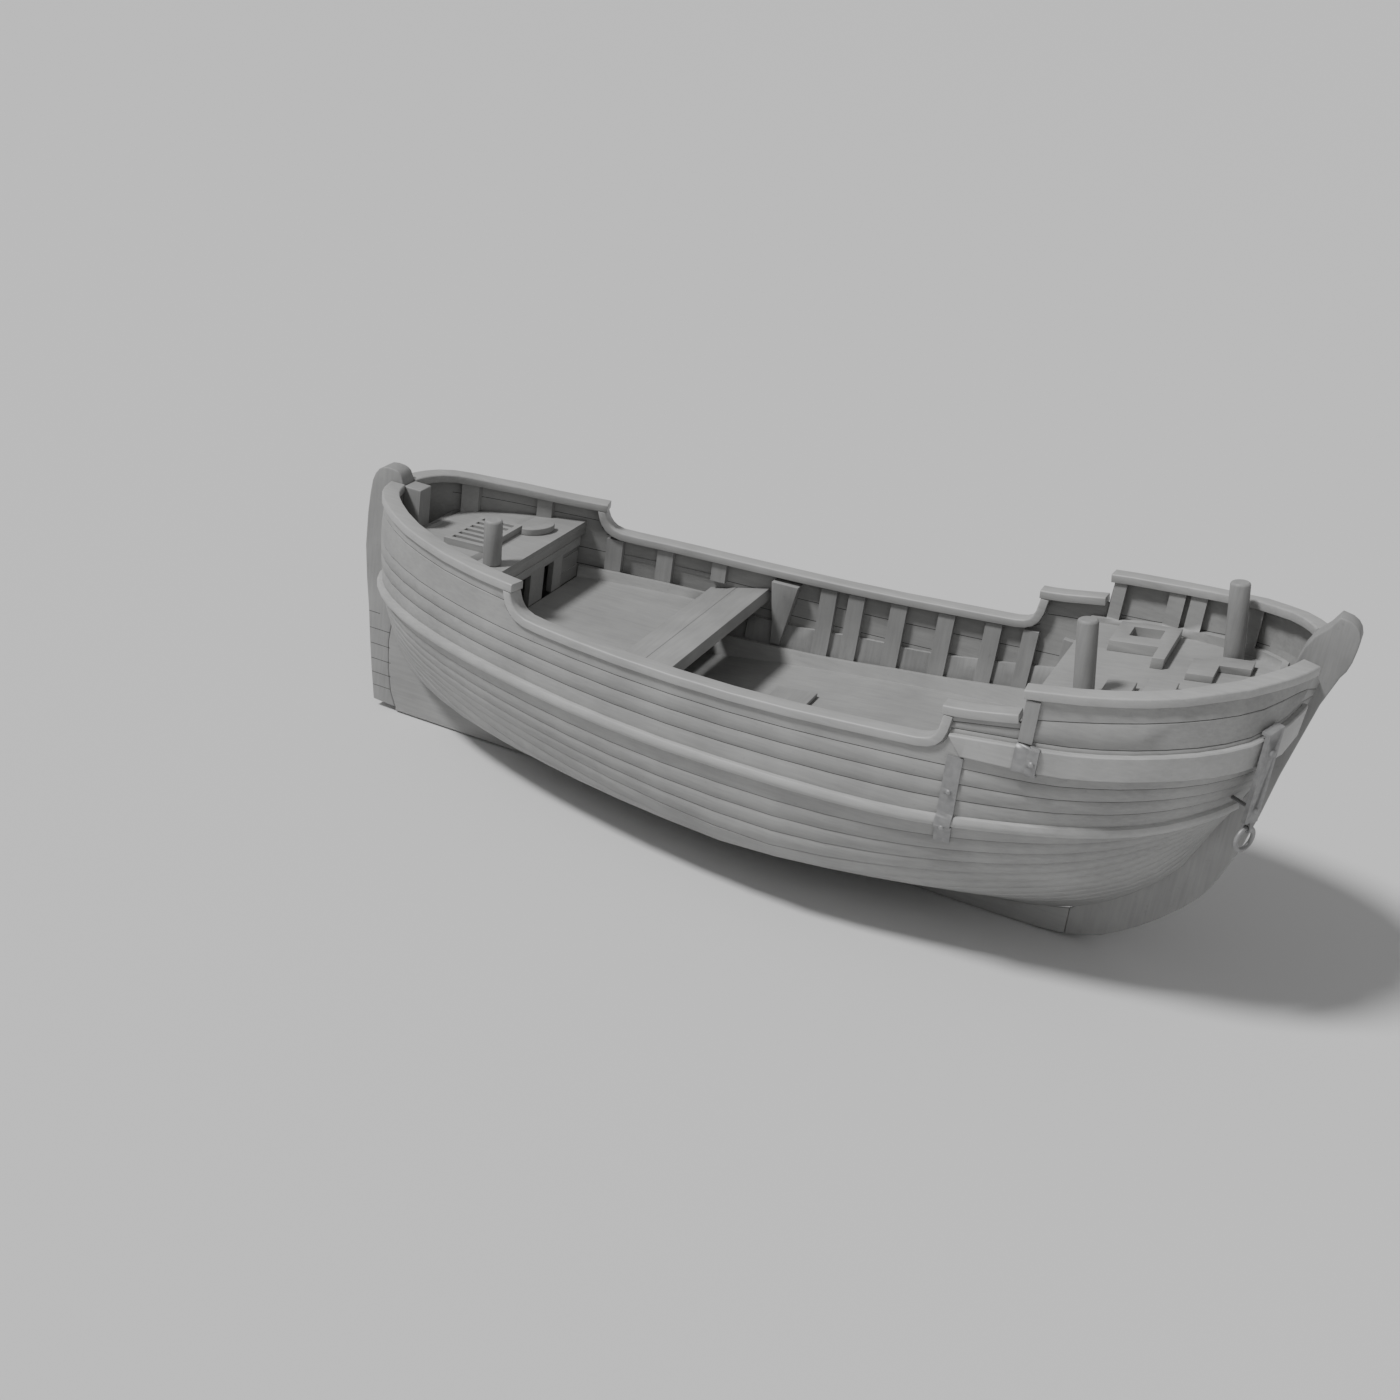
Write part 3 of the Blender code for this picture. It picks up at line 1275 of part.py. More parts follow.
OUTSIDE_PROBES = [Probe(side, OUTSIDE_NAMES) for side in (PORT, STARBOARD)]
for plain, probe in zip(PROBES, OUTSIDE_PROBES):
    sign = probe.side.sign
    tag = "_" + probe.side.name
    out = (0.0, sign, 0.0)

    finish(strap_body(plain, 1.7700, 1.8560, bow_top_z(1.770) - 0.006, wale_top_z(1.813) + 0.016, 0.014, 0.03),
           "bow_end_post" + tag, parts, WOOD)

    bodies = [strap_body(probe, 1.768, 1.853, 1.401, 1.205, 0.012),
              strap_body(probe, 1.850, 1.914, 1.404, 1.195, 0.019)]
    face = probe.outer(1.882, 1.297) + 2.0 * GAP + 0.019
    bodies.append(dome((1.882, sign * (face - 0.002), 1.297), out, 0.019, 0.016))
    join_all("rail_clamp" + tag, bodies, IRON)

    bodies = [strap_body(probe, 1.380, 1.480, 1.190, 0.565, 0.010, 0.017)]
    for z in (0.941, 0.693):
        face = probe.outer(1.430, z) + 2.0 * GAP + 0.010
        bodies.append(dome((1.430, sign * (face - 0.003), z), out, 0.018, 0.017))
    join_all("side_strap" + tag, bodies, IRON)

    rings = []
    for along in (IRON_MID - IRON_HALF, IRON_MID + IRON_HALF):
        lean = IRON_RISE * (along - IRON_MID)
        outline = (
            (IRON_BACK, IRON_LOW), (IRON_FRONT, IRON_LOW), (IRON_FRONT, IRON_TOP + lean),
            (IRON_HOOK, IRON_TOP + lean), (IRON_HOOK, IRON_TOP - 0.018 + lean), (IRON_BACK, IRON_TOP - 0.018 + lean),
        )
        rings.append([iron_point(sign, along, away, z) for away, z in outline])
    bodies = [loft(rings)]
    lug = [(LUG_AWAY + 0.0140, IRON_LOW + 0.010), (LUG_AWAY - 0.0140, IRON_LOW + 0.010)]
    for k in range(13):
        angle = math.radians(150.0 + 20.0 * k)
        lug.append((LUG_AWAY + LUG_RADIUS * math.cos(angle), LUG_Z + LUG_RADIUS * math.sin(angle)))
    rings = [[iron_point(sign, along, away, z) for away, z in lug]
             for along in (IRON_MID - LUG_HALF, IRON_MID + LUG_HALF)]
    bodies.append(loft(rings))
    away_dir = Vector((IRON_AWAY.x, IRON_AWAY.y * sign, 0.0))
    bodies.append(dome(iron_point(sign, IRON_MID, IRON_FRONT - 0.002, UPPER_BOLT_Z), away_dir, 0.027, 0.024, 16))
    bodies.append(dome(iron_point(sign, IRON_MID, IRON_FRONT - 0.002, LOWER_BOLT_Z), away_dir, 0.022, 0.021, 16))
    seat = min(probe.distance(iron_point(sign, IRON_MID + da, 4.0, LOWER_BOLT_Z + dz), -away_dir)
               for da in (-0.012, 0.0, 0.012) for dz in (-0.012, 0.0, 0.012))
    shank_start = 4.0 - seat + 2.0 * GAP
    shank = [[iron_point(sign, IRON_MID + 0.012 * math.cos(k * math.pi / 6), away,
                         LOWER_BOLT_Z + 0.012 * math.sin(k * math.pi / 6)) for k in range(12)]
             for away in (shank_start, IRON_BACK + 0.010)]
    bodies.append(loft(shank))
    iron = join_all("bow_iron" + tag, bodies, IRON)
    hole = [[iron_point(sign, along, LUG_AWAY + LUG_HOLE * math.cos(k * math.pi / 12),
                        LUG_Z + LUG_HOLE * math.sin(k * math.pi / 12)) for k in range(24)]
            for along in (IRON_MID - 0.03, IRON_MID + 0.03)]
    unite(iron, finish(loft(hole), "hole_cut", parts, IRON), "DIFFERENCE")

    centre = iron_point(sign, IRON_MID, LUG_AWAY, LUG_Z - RING_DROP - RING_MAJOR)
    finish(torus(centre, away_dir, RING_MAJOR, RING_MINOR), "mooring_ring" + tag, parts, IRON)
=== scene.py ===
"""Looks of the heavy wooden rowboat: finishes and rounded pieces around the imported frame.

Metres, +X to the bow, +Y to port, +Z up, the origin at the waterline amidships.
"""
from __future__ import annotations

import logging
import math
from dataclasses import dataclass, field
from enum import Enum

import bmesh
import bpy
from mathutils import Matrix, Vector


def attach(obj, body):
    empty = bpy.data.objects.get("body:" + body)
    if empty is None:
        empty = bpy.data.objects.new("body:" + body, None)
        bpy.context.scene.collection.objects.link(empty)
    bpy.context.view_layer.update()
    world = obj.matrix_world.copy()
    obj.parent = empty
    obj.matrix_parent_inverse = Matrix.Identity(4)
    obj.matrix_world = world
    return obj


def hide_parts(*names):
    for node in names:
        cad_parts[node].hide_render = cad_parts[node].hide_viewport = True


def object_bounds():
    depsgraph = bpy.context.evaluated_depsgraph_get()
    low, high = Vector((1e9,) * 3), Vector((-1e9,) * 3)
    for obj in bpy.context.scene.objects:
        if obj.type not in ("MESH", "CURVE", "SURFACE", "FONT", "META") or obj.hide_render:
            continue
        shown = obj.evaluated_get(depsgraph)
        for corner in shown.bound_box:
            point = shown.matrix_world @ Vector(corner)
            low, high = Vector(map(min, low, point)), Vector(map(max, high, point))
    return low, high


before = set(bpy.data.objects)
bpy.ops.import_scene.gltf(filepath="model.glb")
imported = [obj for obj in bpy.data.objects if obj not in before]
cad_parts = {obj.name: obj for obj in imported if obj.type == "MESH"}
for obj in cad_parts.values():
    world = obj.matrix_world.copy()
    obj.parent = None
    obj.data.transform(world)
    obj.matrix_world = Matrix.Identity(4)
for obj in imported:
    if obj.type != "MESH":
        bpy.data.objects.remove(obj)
CAD_BOX = [list(corner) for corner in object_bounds()]
LOG = logging.getLogger("rowboat")
SIDES = ("port", "starboard")
MERGE = 0.00002  # metres within which two vertices are one


class Grain(Enum):
    """Direction that the grain of a timber runs in."""

    FORE_AND_AFT = (0.32, 4.5, 4.5)
    ATHWART = (4.5, 0.32, 4.5)
    UPRIGHT = (4.5, 4.5, 0.32)


class Soft(Enum):
    """How round a piece's worked edges are: width in metres and number of cuts."""

    CRISP = (0.0016, 1)
    EASED = (0.0030, 2)
    ROUND = (0.0050, 2)
    TURNED = (0.0120, 4)


class Value:
    """A number socket that Python's operators turn into Math nodes."""

    def __init__(self, tree: "Shader", socket: bpy.types.NodeSocket) -> None:
        """Wrap a socket.

        Args:
            tree: Shader that the socket belongs to.
            socket: Output socket that carries a number.
        """
        self.tree = tree
        self.socket = socket

    def _math(self, operation: str, first: object, second: object) -> "Value":
        """Add one Math node.

        Args:
            operation: The Math node's operation.
            first: First number or value.
            second: Second number or value.

        Returns:
            The node's result.
        """
        return self.tree.number("ShaderNodeMath", {"operation": operation}, {0: first, 1: second})

    def __add__(self, other: object) -> "Value":
        """Sum."""
        return self._math("ADD", self, other)

    __radd__ = __add__

    def __mul__(self, other: object) -> "Value":
        """Product."""
        return self._math("MULTIPLY", self, other)

    __rmul__ = __mul__

    def __sub__(self, other: object) -> "Value":
        """Difference."""
        return self._math("SUBTRACT", self, other)

    def __rsub__(self, other: object) -> "Value":
        """Difference with the value on the right."""
        return self._math("SUBTRACT", other, self)

    def within(self, low: float, high: float) -> "Value":
        """Map low to 0 and high to 1, held between them."""
        inputs = {"Value": self, "From Min": low, "From Max": high}
        return self.tree.number("ShaderNodeMapRange", {"clamp": True}, inputs)


class Shader:
    """One material's node tree, built with a single node method."""

    def __init__(self, name: str) -> None:
        """Make an empty Principled material.

        Args:
            name: The material's name.
        """
        self.material = bpy.data.materials.new(name)
        self.material.use_nodes = True
        self.tree = self.material.node_tree
        self.principled = self.tree.nodes["Principled BSDF"]

    def node(self, kind: str, settings: dict[str, object], inputs: dict[object, object]) -> bpy.types.Node:
        """Add a node, set its options, then its sockets.

        Args:
            kind: Blender's node type.
            settings: Attribute names and values.
            inputs: Socket name or number to a number, vector, Value or output socket.

        Returns:
            The new node.
        """
        made = self.tree.nodes.new(kind)
        for key, setting in settings.items():
            setattr(made, key, setting)
        for key, entry in inputs.items():
            self._feed(made.inputs[key], entry)
        return made

    def number(self, kind: str, settings: dict[str, object], inputs: dict[object, object],
               output: object = 0) -> Value:
        """Add a node and wrap one of its outputs.

        Args:
            kind: Blender's node type.
            settings: As for node().
            inputs: As for node().
            output: Name or number of the output to wrap.

        Returns:
            The output as a value.
        """
        return Value(self, self.node(kind, settings, inputs).outputs[output])

    def set(self, name: str, entry: object) -> None:
        """Feed one of the Principled shader's sockets.

        Args:
            name: The socket's name.
            entry: A number, colour, Value or output socket.
        """
        self._feed(self.principled.inputs[name], entry)

    def _feed(self, socket: bpy.types.NodeSocket, entry: object) -> None:
        """Link or set one input socket.

        Args:
            socket: The input socket.
            entry: A number, colour, vector, Value or output socket.
        """
        if isinstance(entry, Value):
            self.tree.links.new(entry.socket, socket)
        elif isinstance(entry, bpy.types.NodeSocket):
            self.tree.links.new(entry, socket)
        elif isinstance(entry, (int, float)) and hasattr(socket.default_value, "__len__"):
            socket.default_value = [entry] * len(socket.default_value)
        else:
            socket.default_value = entry

    def place(self, scale: tuple[float, float, float]) -> bpy.types.NodeSocket:
        """Object coordinates, stretched.

        Args:
            scale: Factor on each axis.

        Returns:
            The vector output.
        """
        spot = self.node("ShaderNodeTexCoord", {}, {}).outputs["Object"]
        return self.node("ShaderNodeMapping", {}, {"Vector": spot, "Scale": scale}).outputs[0]

    def noise(self, place: bpy.types.NodeSocket, scale: float, detail: float, rough: float = 0.55) -> Value:
        """Grey noise over a place."""
        inputs = {"Vector": place, "Scale": scale, "Detail": detail, "Roughness": rough}
        return self.number("ShaderNodeTexNoise", {}, inputs, "Fac")

    def tint(self, factor: Value, low: tuple[float, ...], high: tuple[float, ...]) -> bpy.types.NodeSocket:
        """Mix two colours by a value."""
        inputs = {0: factor, 6: (*low, 1.0), 7: (*high, 1.0)}
        return self.node("ShaderNodeMix", {"data_type": "RGBA"}, inputs).outputs[2]

    def bump(self, height: Value, depth: float, strength: float) -> None:
        """Feed the shader's normal from a height in metres."""
        inputs = {"Height": height, "Distance": depth, "Strength": strength}
        self.set("Normal", self.node("ShaderNodeBump", {}, inputs).outputs[0])


@dataclass(frozen=True)
class WoodFinish:
    """Weathered, evenly greyed timber with a shallow grain."""

    name: str
    grain: Grain
    shade: tuple[float, float, float] = (0.255, 0.255, 0.252)
    worn: tuple[float, float, float] = (0.345, 0.345, 0.340)
    roughness: float = 0.52
    shine: float = 0.42
    relief: float = 0.0012
    relief_strength: float = 0.55
    grain_scale: float = 9.0
    fibre_scale: float = 46.0
    patch_scale: float = 2.3
    nick_scale: float = 31.0

    def material(self) -> bpy.types.Material:
        """Build the finish.

        Returns:
            The timber's material.
        """
        shader = Shader(self.name)
        stretched = shader.place(self.grain.value)
        even = shader.place((1.0, 1.0, 1.0))
        grain = shader.noise(stretched, self.grain_scale, 6.0, 0.62)
        fibre = shader.noise(stretched, self.fibre_scale, 3.0, 0.70)
        patches = shader.noise(even, self.patch_scale, 4.0)
        nicks = shader.noise(even, self.nick_scale, 2.0).within(0.66, 0.74)
        tone = (patches * 0.55 + grain * 0.45).within(0.36, 0.66)
        shader.set("Base Color", shader.tint(tone - nicks * 0.25, self.shade, self.worn))
        shader.set("Roughness", (self.roughness - 0.06) + 0.16 * grain)
        shader.set("Specular IOR Level", self.shine)
        height = grain * 0.45 + fibre * 0.22 - nicks * 0.55
        shader.bump(height, self.relief, self.relief_strength)
        return shader.material


@dataclass(frozen=True)
class IronFinish:
    """Hand-forged iron, dull grey with hammer marks."""

    name: str
    shade: tuple[float, float, float] = (0.250, 0.250, 0.252)
    worn: tuple[float, float, float] = (0.305, 0.305, 0.307)
    roughness: float = 0.44
    metallic: float = 0.35
    relief: float = 0.0016
    relief_strength: float = 0.5
    dent_scale: float = 24.0
    pit_scale: float = 120.0

    def material(self) -> bpy.types.Material:
        """Build the finish.

        Returns:
            The iron's material.
        """
        shader = Shader(self.name)
        even = shader.place((1.0, 1.0, 1.0))
        dents = shader.noise(even, self.dent_scale, 2.0, 0.45)
        pits = shader.noise(even, self.pit_scale, 4.0, 0.65)
        shader.set("Base Color", shader.tint(dents.within(0.34, 0.68), self.shade, self.worn))
        shader.set("Roughness", (self.roughness - 0.08) + 0.20 * pits)
        shader.set("Metallic", self.metallic)
        shader.bump(dents * 0.7 + pits * 0.3, self.relief, self.relief_strength)
        return shader.material


@dataclass(frozen=True)
class PlainFinish:
    """Even matt surface for the studio floor."""

    name: str
    shade: tuple[float, float, float]
    roughness: float

    def material(self) -> bpy.types.Material:
        """Build the finish.

        Returns:
            The floor's material.
        """
        shader = Shader(self.name)
        shader.set("Base Color", (*self.shade, 1.0))
        shader.set("Roughness", self.roughness)
        return shader.material


class Joinery:
    """Makes finished pieces and keeps the materials that they share."""

    joined_faces: float = 6.0  # degrees between two triangles of one flat face
    any_shape: float = 180.0
    dissolved: float = 0.4  # degrees at an edge that does not show
    steepest_inside: float = 0.75  # vertical share of a normal on the planking's inside
    seam_room: float = 1.3  # a face's width over the seam line's half width

    def __init__(self) -> None:
        """Start with no materials."""
        self._finishes: dict[str, bpy.types.Material] = {}

    def dress(self, finish: WoodFinish | IronFinish | PlainFinish) -> bpy.types.Material:
        """Find a finish's material, which is made once.

        Args:
            finish: The surface wanted.

        Returns:
            Its material.
        """
        if finish.name not in self._finishes:
            self._finishes[finish.name] = finish.material()
        return self._finishes[finish.name]

    def copy_solid(self, node: str) -> bmesh.types.BMesh:
        """Copy a frame solid as one connected mesh.

        Args:
            node: Name of the frame's node.

        Returns:
            The merged copy, faces outward.
        """
        bm = bmesh.new()
        bm.from_mesh(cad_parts[node].data)
        bmesh.ops.remove_doubles(bm, verts=bm.verts[:], dist=MERGE)
        bmesh.ops.dissolve_degenerate(bm, edges=bm.edges[:], dist=MERGE)
        bmesh.ops.recalc_face_normals(bm, faces=bm.faces[:])
        bmesh.ops.join_triangles(bm, faces=bm.faces[:], angle_face_threshold=math.radians(self.joined_faces),
                                 angle_shape_threshold=math.radians(self.any_shape))
        return bm

    def inside_lines(self, bm: bmesh.types.BMesh) -> list[bmesh.types.BMEdge]:
        """List the lengthwise edges in the smooth inside of a side's planking.

        Args:
            bm: The planking's mesh.

        Returns:
            The edges between its inside faces.
        """
        found = []
        for edge in bm.edges:
            along = edge.verts[0].co - edge.verts[1].co
            middle = edge.verts[0].co.y + edge.verts[1].co.y
            if edge.is_manifold and abs(along.z) + abs(along.y) < abs(along.x):
                normals = [face.normal for face in edge.link_faces]
                if all(way.y * middle < 0.0 and abs(way.z) < self.steepest_inside for way in normals):
                    found.append(edge)
        return found

    @staticmethod
    def short_side(face: bmesh.types.BMFace) -> float:
        """Return a face's mean width, its area over its longest edge."""
        return face.calc_area() / max(edge.calc_length() for edge in face.edges)

    def open_seams(self, bm: bmesh.types.BMesh, width: float, angle: float = 35.0) -> None:
        """Widen the inner corners of grooves, and paint them with the dark seam shade.

        Args:
            bm: The piece's mesh.
            width: Half width of a seam line in metres.
            angle: Smallest angle of an inner corner that counts, in degrees.
        """
        bm.normal_update()
        limit = -math.radians(angle)
        corners = {edge for edge in bm.edges if edge.is_manifold and edge.calc_face_angle_signed(0.0) < limit}
        corners.update(self.inside_lines(bm))
        room = self.seam_room * width
        corners = {edge for edge in corners if min(map(self.short_side, edge.link_faces)) > room}
        cut = bmesh.ops.bevel(bm, geom=list(corners), offset=width, offset_type="OFFSET", segments=1,
                              profile=0.5, affect="EDGES", clamp_overlap=True, material=-1)
        # the widened corners get the dark finish: painted shade in the seam grooves
        for face in cut["faces"]:
            face.material_index = 1

    @staticmethod
    def sharp_edges(bm: bmesh.types.BMesh, angle: float) -> list[bmesh.types.BMEdge]:
        """List the edges where two faces meet sharply.

        Args:
            bm: The piece's mesh.
            angle: Smallest angle that counts, in degrees.

        Returns:
            The edges.
        """
        bm.normal_update()
        limit = math.radians(angle)
        return [edge for edge in bm.edges if edge.is_manifold and edge.calc_face_angle(0.0) > limit]

    def ease_edges(self, bm: bmesh.types.BMesh, soft: Soft, angle: float) -> None:
        """Round the worked edges of a piece.

        Args:
            bm: The piece's mesh.
            soft: How round the edges get.
            angle: Smallest angle of an edge that is rounded, in degrees.
        """
        flat = math.radians(self.dissolved)
        bmesh.ops.dissolve_limit(bm, angle_limit=flat, verts=bm.verts[:], edges=bm.edges[:])
        edges = self.sharp_edges(bm, angle)
        width, cuts = soft.value
        bmesh.ops.bevel(bm, geom=edges, offset=width, offset_type="OFFSET", segments=cuts, profile=0.5,
                        affect="EDGES", clamp_overlap=True, material=-1)
        bmesh.ops.remove_doubles(bm, verts=bm.verts[:], dist=MERGE)

    @staticmethod
    def shade(mesh: bpy.types.Mesh, angle: float) -> None:
        """Smooth a mesh's shading, keeping edges sharper than an angle in degrees."""
        mesh.shade_smooth()
        mesh.set_sharp_from_angle(angle=math.radians(angle))

    def add(self, name: str, bm: bmesh.types.BMesh, finish: WoodFinish | IronFinish, slot: str,
            body: str, smooth: float = 32.0) -> bpy.types.Object:
        """Turn a mesh into a finished piece that rides on a body.

        Args:
            name: The piece's name.
            bm: Its mesh, freed here.
            finish: Its surface.
            slot: Not used.
            body: The frame's body that it moves with.
            smooth: Edges sharper than this many degrees stay sharp.

        Returns:
            The new object.
        """
        mesh = bpy.data.meshes.new(name)
        bm.to_mesh(mesh)
        bm.free()
        self.shade(mesh, smooth)
        piece = bpy.data.objects.new(name, mesh)
        piece.data.materials.append(self.dress(finish))
        bpy.context.scene.collection.objects.link(piece)
        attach(piece, body)
        LOG.info("%s: %d faces on %s", name, len(mesh.polygons), body)
        return piece

    def refine(self, node: str, finish: WoodFinish | IronFinish, soft: Soft | None, slot: str = "wood",
               body: str = "hull", angle: float = 40.0, smooth: float = 32.0, seam: float = 0.0) -> None:
        """Replace a frame solid with its own shape, edges eased and shading smoothed.

        Args:
            node: The frame's node.
            finish: Its surface.
            soft: How round its edges get, or None to leave them.
            slot: Passed on to add(), which does not use it.
            body: The frame's body that it moves with.
            angle: Smallest angle of an edge that is rounded, in degrees.
            smooth: Edges sharper than this many degrees stay sharp.
            seam: Half width of the painted dark seam shade lines, or 0 for none.
        """
        bm = self.copy_solid(node)
        if seam > 0.0:
            self.open_seams(bm, seam)
        if soft is not None:
            self.ease_edges(bm, soft, angle)
        piece = self.add(node + "_form", bm, finish, slot, body, smooth)
        if seam > 0.0:
            piece.data.materials.append(self.dress(SEAM_SHADE))
        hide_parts(node)


DECK_SHADES = ((0.265, 0.265, 0.262), (0.350, 0.350, 0.345))
PLANK = WoodFinish("plank_timber", Grain.FORE_AND_AFT)
BACKBONE = WoodFinish("backbone_timber", Grain.FORE_AND_AFT, (0.245, 0.245, 0.242),
                      (0.330, 0.330, 0.326), 0.55)
UPRIGHT = WoodFinish("upright_timber", Grain.UPRIGHT, (0.240, 0.240, 0.238), (0.325, 0.325, 0.322), 0.55)
# Rail timber painted lighter than the planking: a painted highlight for the light on the rail tops
RAIL_PAINTED_LIGHT = WoodFinish("rail_timber_painted_light", Grain.FORE_AND_AFT, (0.325, 0.325, 0.321), (0.420, 0.420, 0.415), 0.44)
DECK = WoodFinish("deck_timber", Grain.FORE_AND_AFT, *DECK_SHADES, 0.54)
CROSS = WoodFinish("cross_timber", Grain.ATHWART, *DECK_SHADES, 0.54)
# Near-black finish: painted shade inside the seam grooves and the sternpost's cut lines
SEAM_SHADE = WoodFinish("painted_seam_shade", Grain.FORE_AND_AFT, (0.060, 0.060, 0.060), (0.095, 0.095, 0.095), 0.70)
IRON = IronFinish("forged_iron")


@dataclass
class Backbone:
    """Keel, stem, sternpost and inner post."""

    soft: Soft = Soft.ROUND
    upright: tuple[str, ...] = ("stem", "sternpost", "inner_post")
    face: float = 0.0740
    mark_depth: float = 0.0012
    mark_height: float = 0.0045
    # each painted cut-shade line: height, aft end, fore end
    marks: tuple[tuple[float, float, float], ...] = (
        (0.366, -3.301, -3.206), (0.238, -3.285, -3.112), (0.117, -3.270, -3.102),
        (-0.003, -3.256, -3.088), (-0.113, -3.244, -3.080), (-0.215, -3.228, -3.078),
    )

    def build(self, shop: Joinery) -> None:
        """Make the backbone's pieces.

        Args:
            shop: Where the pieces are made.
        """
        shop.refine("keel", BACKBONE, self.soft)
        for node in self.upright:
            shop.refine(node, UPRIGHT, self.soft)
        self.paint_cut_shade(shop)

    def paint_cut_shade(self, shop: Joinery) -> None:
        """Lay thin dark strips on both faces of the sternpost, painted shade standing in for short cross
        cuts.

        Args:
            shop: Where the pieces are made.
        """
        bm = bmesh.new()
        for z, aft, fore in self.marks:
            for side in (-1.0, 1.0):
                spot = Matrix.Translation((0.5 * (aft + fore), side * self.face, z))
                size = Matrix.Diagonal((fore - aft, self.mark_depth, self.mark_height, 1.0))
                bmesh.ops.create_cube(bm, size=1.0, matrix=spot @ size)
        shop.add("sternpost_painted_cut_shade", bm, SEAM_SHADE, "wood", "hull")


@dataclass
class Planking:
    """Bottom and topsides with grooved seams, bulwarks, rubbing strake and wale."""

    skin_smooth: float = 24.0
    band_smooth: float = 34.0
    seam: float = 0.0028
    skins: tuple[str, ...] = ("bottom_planks", "topside_planks", "stern_bulwark", "bow_bulwark")
    bands: tuple[str, ...] = ("rubbing_strake", "bow_wale")

    def build(self, shop: Joinery) -> None:
        """Make the planking of both sides.

        Args:
            shop: Where the pieces are made.
        """
        for side in SIDES:
            for skin in self.skins:
                shop.refine(f"{skin}_{side}", PLANK, None, smooth=self.skin_smooth, seam=self.seam)
            for band in self.bands:
                shop.refine(f"{band}_{side}", RAIL_PAINTED_LIGHT, None, smooth=self.band_smooth)


@dataclass
class Rails:
    """Cap rails of both sides and the outside end posts."""

    soft: Soft = Soft.EASED
    caps: tuple[str, ...] = ("stern_cap", "midship_cap", "quarter_cap", "bow_cap")

    def build(self, shop: Joinery) -> None:
        """Make the rails and the end posts.

        Args:
            shop: Where the pieces are made.
        """
        for side in SIDES:
            for cap in self.caps:
                shop.refine(f"{cap}_{side}", RAIL_PAINTED_LIGHT, self.soft)
            shop.refine(f"bow_end_post_{side}", UPRIGHT, Soft.CRISP)


@dataclass
class Well:
    """Ribs, floors, side boards, step platform and mast step."""

    soft: Soft = Soft.EASED
    floor_angle: float = 50.0

    def build(self, shop: Joinery) -> None:
        """Make the pieces inside the open well.

        Args:
            shop: Where the pieces are made.
        """
        for side in SIDES:
            shop.refine(f"ribs_forward_{side}", UPRIGHT, Soft.CRISP)
            shop.refine(f"ribs_aft_{side}", UPRIGHT, Soft.CRISP)
            shop.refine(f"side_board_{side}", UPRIGHT, self.soft)
        shop.refine("forward_floor", DECK, Soft.CRISP, angle=self.floor_angle)
        shop.refine("aft_floor", DECK, Soft.CRISP, angle=self.floor_angle)
        shop.refine("step_platform", CROSS, self.soft)
        shop.refine("mast_step", CROSS, self.soft)


@dataclass
class SternDeck:
    """Stern deck with its beam, bulkhead, grating, pad and post."""

    soft: Soft = Soft.EASED

    def build(self, shop: Joinery) -> None:
        """Make the stern deck's pieces.

        Args:
            shop: Where the pieces are made.
        """
        shop.refine("stern_deck", DECK, None)
        shop.refine("stern_beam", CROSS, self.soft)
        shop.refine("stern_bulkhead", DECK, Soft.CRISP)
        shop.refine("grating_hatch", DECK, Soft.CRISP)
        shop.refine("stern_pad", DECK, self.soft)
        shop.refine("stern_bollard", UPRIGHT, Soft.TURNED)


@dataclass
class Foredeck:
    """Foredeck with its beam, posts and the loose timbers on it."""

    soft: Soft = Soft.EASED
    loose: tuple[str, ...] = ("deck_frame", "deck_chock", "deck_pad_aft", "deck_pad_fore")
    posts: tuple[str, ...] = ("bow_bollard_aft", "bow_bollard_fore")

    def build(self, shop: Joinery) -> None:
        """Make the foredeck's pieces.

        Args:
            shop: Where the pieces are made.
        """
        shop.refine("foredeck", DECK, None)
        shop.refine("foredeck_beam", CROSS, self.soft)
        for node in self.loose:
            shop.refine(node, DECK, self.soft)
        for node in self.posts:
            shop.refine(node, UPRIGHT, Soft.TURNED)


@dataclass
class Ironwork:
    """Straps, clamps, bow irons and the hinged rings."""

    fixed: tuple[str, ...] = ("rail_clamp", "side_strap", "bow_iron")
    ring_smooth: float = 60.0

    def build(self, shop: Joinery) -> None:
        """Make the irons of both sides.

        Args:
            shop: Where the pieces are made.
        """
        for side in SIDES:
            for iron in self.fixed:
                shop.refine(f"{iron}_{side}", IRON, None, slot="iron")
            ring = f"mooring_ring_{side}"
            shop.refine(ring, IRON, None, slot="iron", body=f"ring_{side}", smooth=self.ring_smooth)


@dataclass
class Lamp:
    """One soft, distant studio light."""

    name: str
    spot: tuple[float, float, float]
    spread: float
    power: float

    def build(self) -> None:
        """Hang the light, aimed at the origin."""
        light = bpy.data.lights.new(self.name, "SUN")
        light.angle = math.radians(self.spread)
        light.energy = self.power
        lamp = bpy.data.objects.new(self.name, light)
        lamp.location = self.spot
        lamp.rotation_euler = (-Vector(self.spot)).to_track_quat("-Z", "Y").to_euler()
        bpy.context.scene.collection.objects.link(lamp)


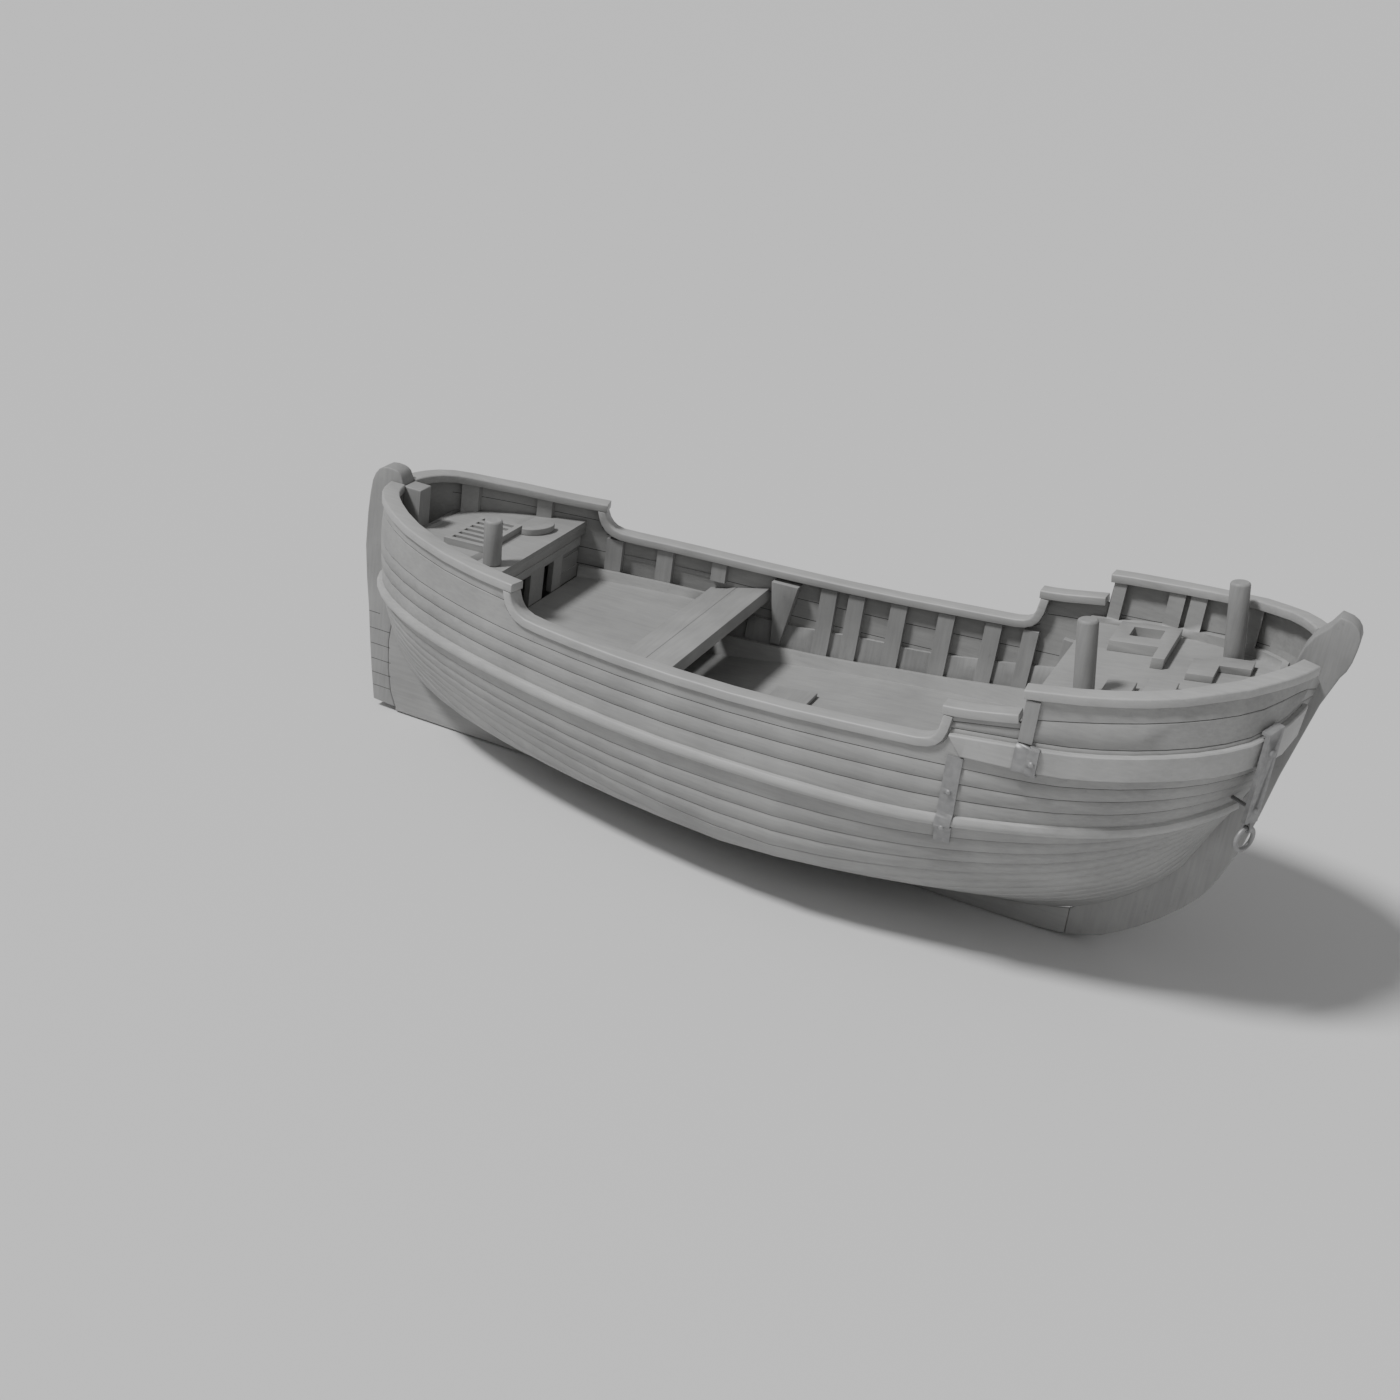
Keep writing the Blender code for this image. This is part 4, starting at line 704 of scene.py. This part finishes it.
@dataclass
class Studio:
    """Pale floor, soft lights and the camera at the photograph's angle."""

    spot: tuple[float, float, float] = (3.609, -11.382, 6.303)
    yaw: float = 20.534
    pitch: float = 25.729
    roll: float = 8.352
    lens: float = 50.0
    sensor: float = 36.0
    farthest: float = 300.0
    floor_drop: float = 0.004
    floor_size: float = 120.0
    floor_finish: PlainFinish = PlainFinish("pale_floor", (0.70, 0.70, 0.70), 0.80)
    air_shade: tuple[float, float, float, float] = (0.80, 0.80, 0.80, 1.0)
    air_strength: float = 0.36
    lamps: list[Lamp] = field(default_factory=lambda: [
        Lamp("key_light", (-5.5, -4.8, 10.5), 10.0, 2.95),
        Lamp("fill_light", (5.0, -9.0, 6.5), 35.0, 0.14),
    ])

    def build(self, shop: Joinery) -> None:
        """Set up the floor, the world, the lights and the camera.

        Args:
            shop: Keeper of the floor's finish.
        """
        self._camera()
        self._floor(shop)
        self._world()
        for lamp in self.lamps:
            lamp.build()

    def _camera(self) -> None:
        """Place the camera."""
        yaw, pitch, roll = (math.radians(angle) for angle in (self.yaw, self.pitch, self.roll))
        level = Vector((math.cos(yaw), math.sin(yaw), 0.0))
        flat = math.cos(pitch)
        ahead = Vector((-math.sin(yaw) * flat, math.cos(yaw) * flat, -math.sin(pitch)))
        above = level.cross(ahead)
        right = math.cos(roll) * level + math.sin(roll) * above
        up = -math.sin(roll) * level + math.cos(roll) * above
        turn = Matrix((right, up, -ahead)).transposed().to_4x4()
        data = bpy.data.cameras.new("photo_camera")
        data.lens = self.lens
        data.sensor_width = self.sensor
        data.clip_end = self.farthest
        camera = bpy.data.objects.new("photo_camera", data)
        camera.matrix_world = Matrix.Translation(self.spot) @ turn
        bpy.context.scene.collection.objects.link(camera)
        bpy.context.scene.camera = camera

    def _floor(self, shop: Joinery) -> None:
        """Lay the floor just below the keel.

        Args:
            shop: Keeper of the floor's finish.
        """
        lowest = CAD_BOX[0][2] - self.floor_drop
        bm = bmesh.new()
        bmesh.ops.create_grid(bm, x_segments=1, y_segments=1, size=self.floor_size,
                              matrix=Matrix.Translation((0.0, 0.0, lowest)))
        mesh = bpy.data.meshes.new("studio_floor")
        bm.to_mesh(mesh)
        bm.free()
        floor = bpy.data.objects.new("studio_floor", mesh)
        floor.data.materials.append(shop.dress(self.floor_finish))
        bpy.context.scene.collection.objects.link(floor)

    def _world(self) -> None:
        """Fill the surroundings with an even pale light."""
        world = bpy.data.worlds.new("studio_world")
        world.use_nodes = True
        back = world.node_tree.nodes["Background"]
        back.inputs["Color"].default_value = self.air_shade
        back.inputs["Strength"].default_value = self.air_strength
        bpy.context.scene.world = world


def main() -> None:
    """Build the studio and the boat's sub-assemblies in order."""
    logging.basicConfig(level=logging.INFO, format="%(name)s %(message)s")
    shop = Joinery()
    Studio().build(shop)
    for assembly in (Backbone(), Planking(), Rails(), Well(), SternDeck(), Foredeck(), Ironwork()):
        LOG.info("building %s", type(assembly).__name__)
        assembly.build(shop)


if __name__ == "__main__":
    main()
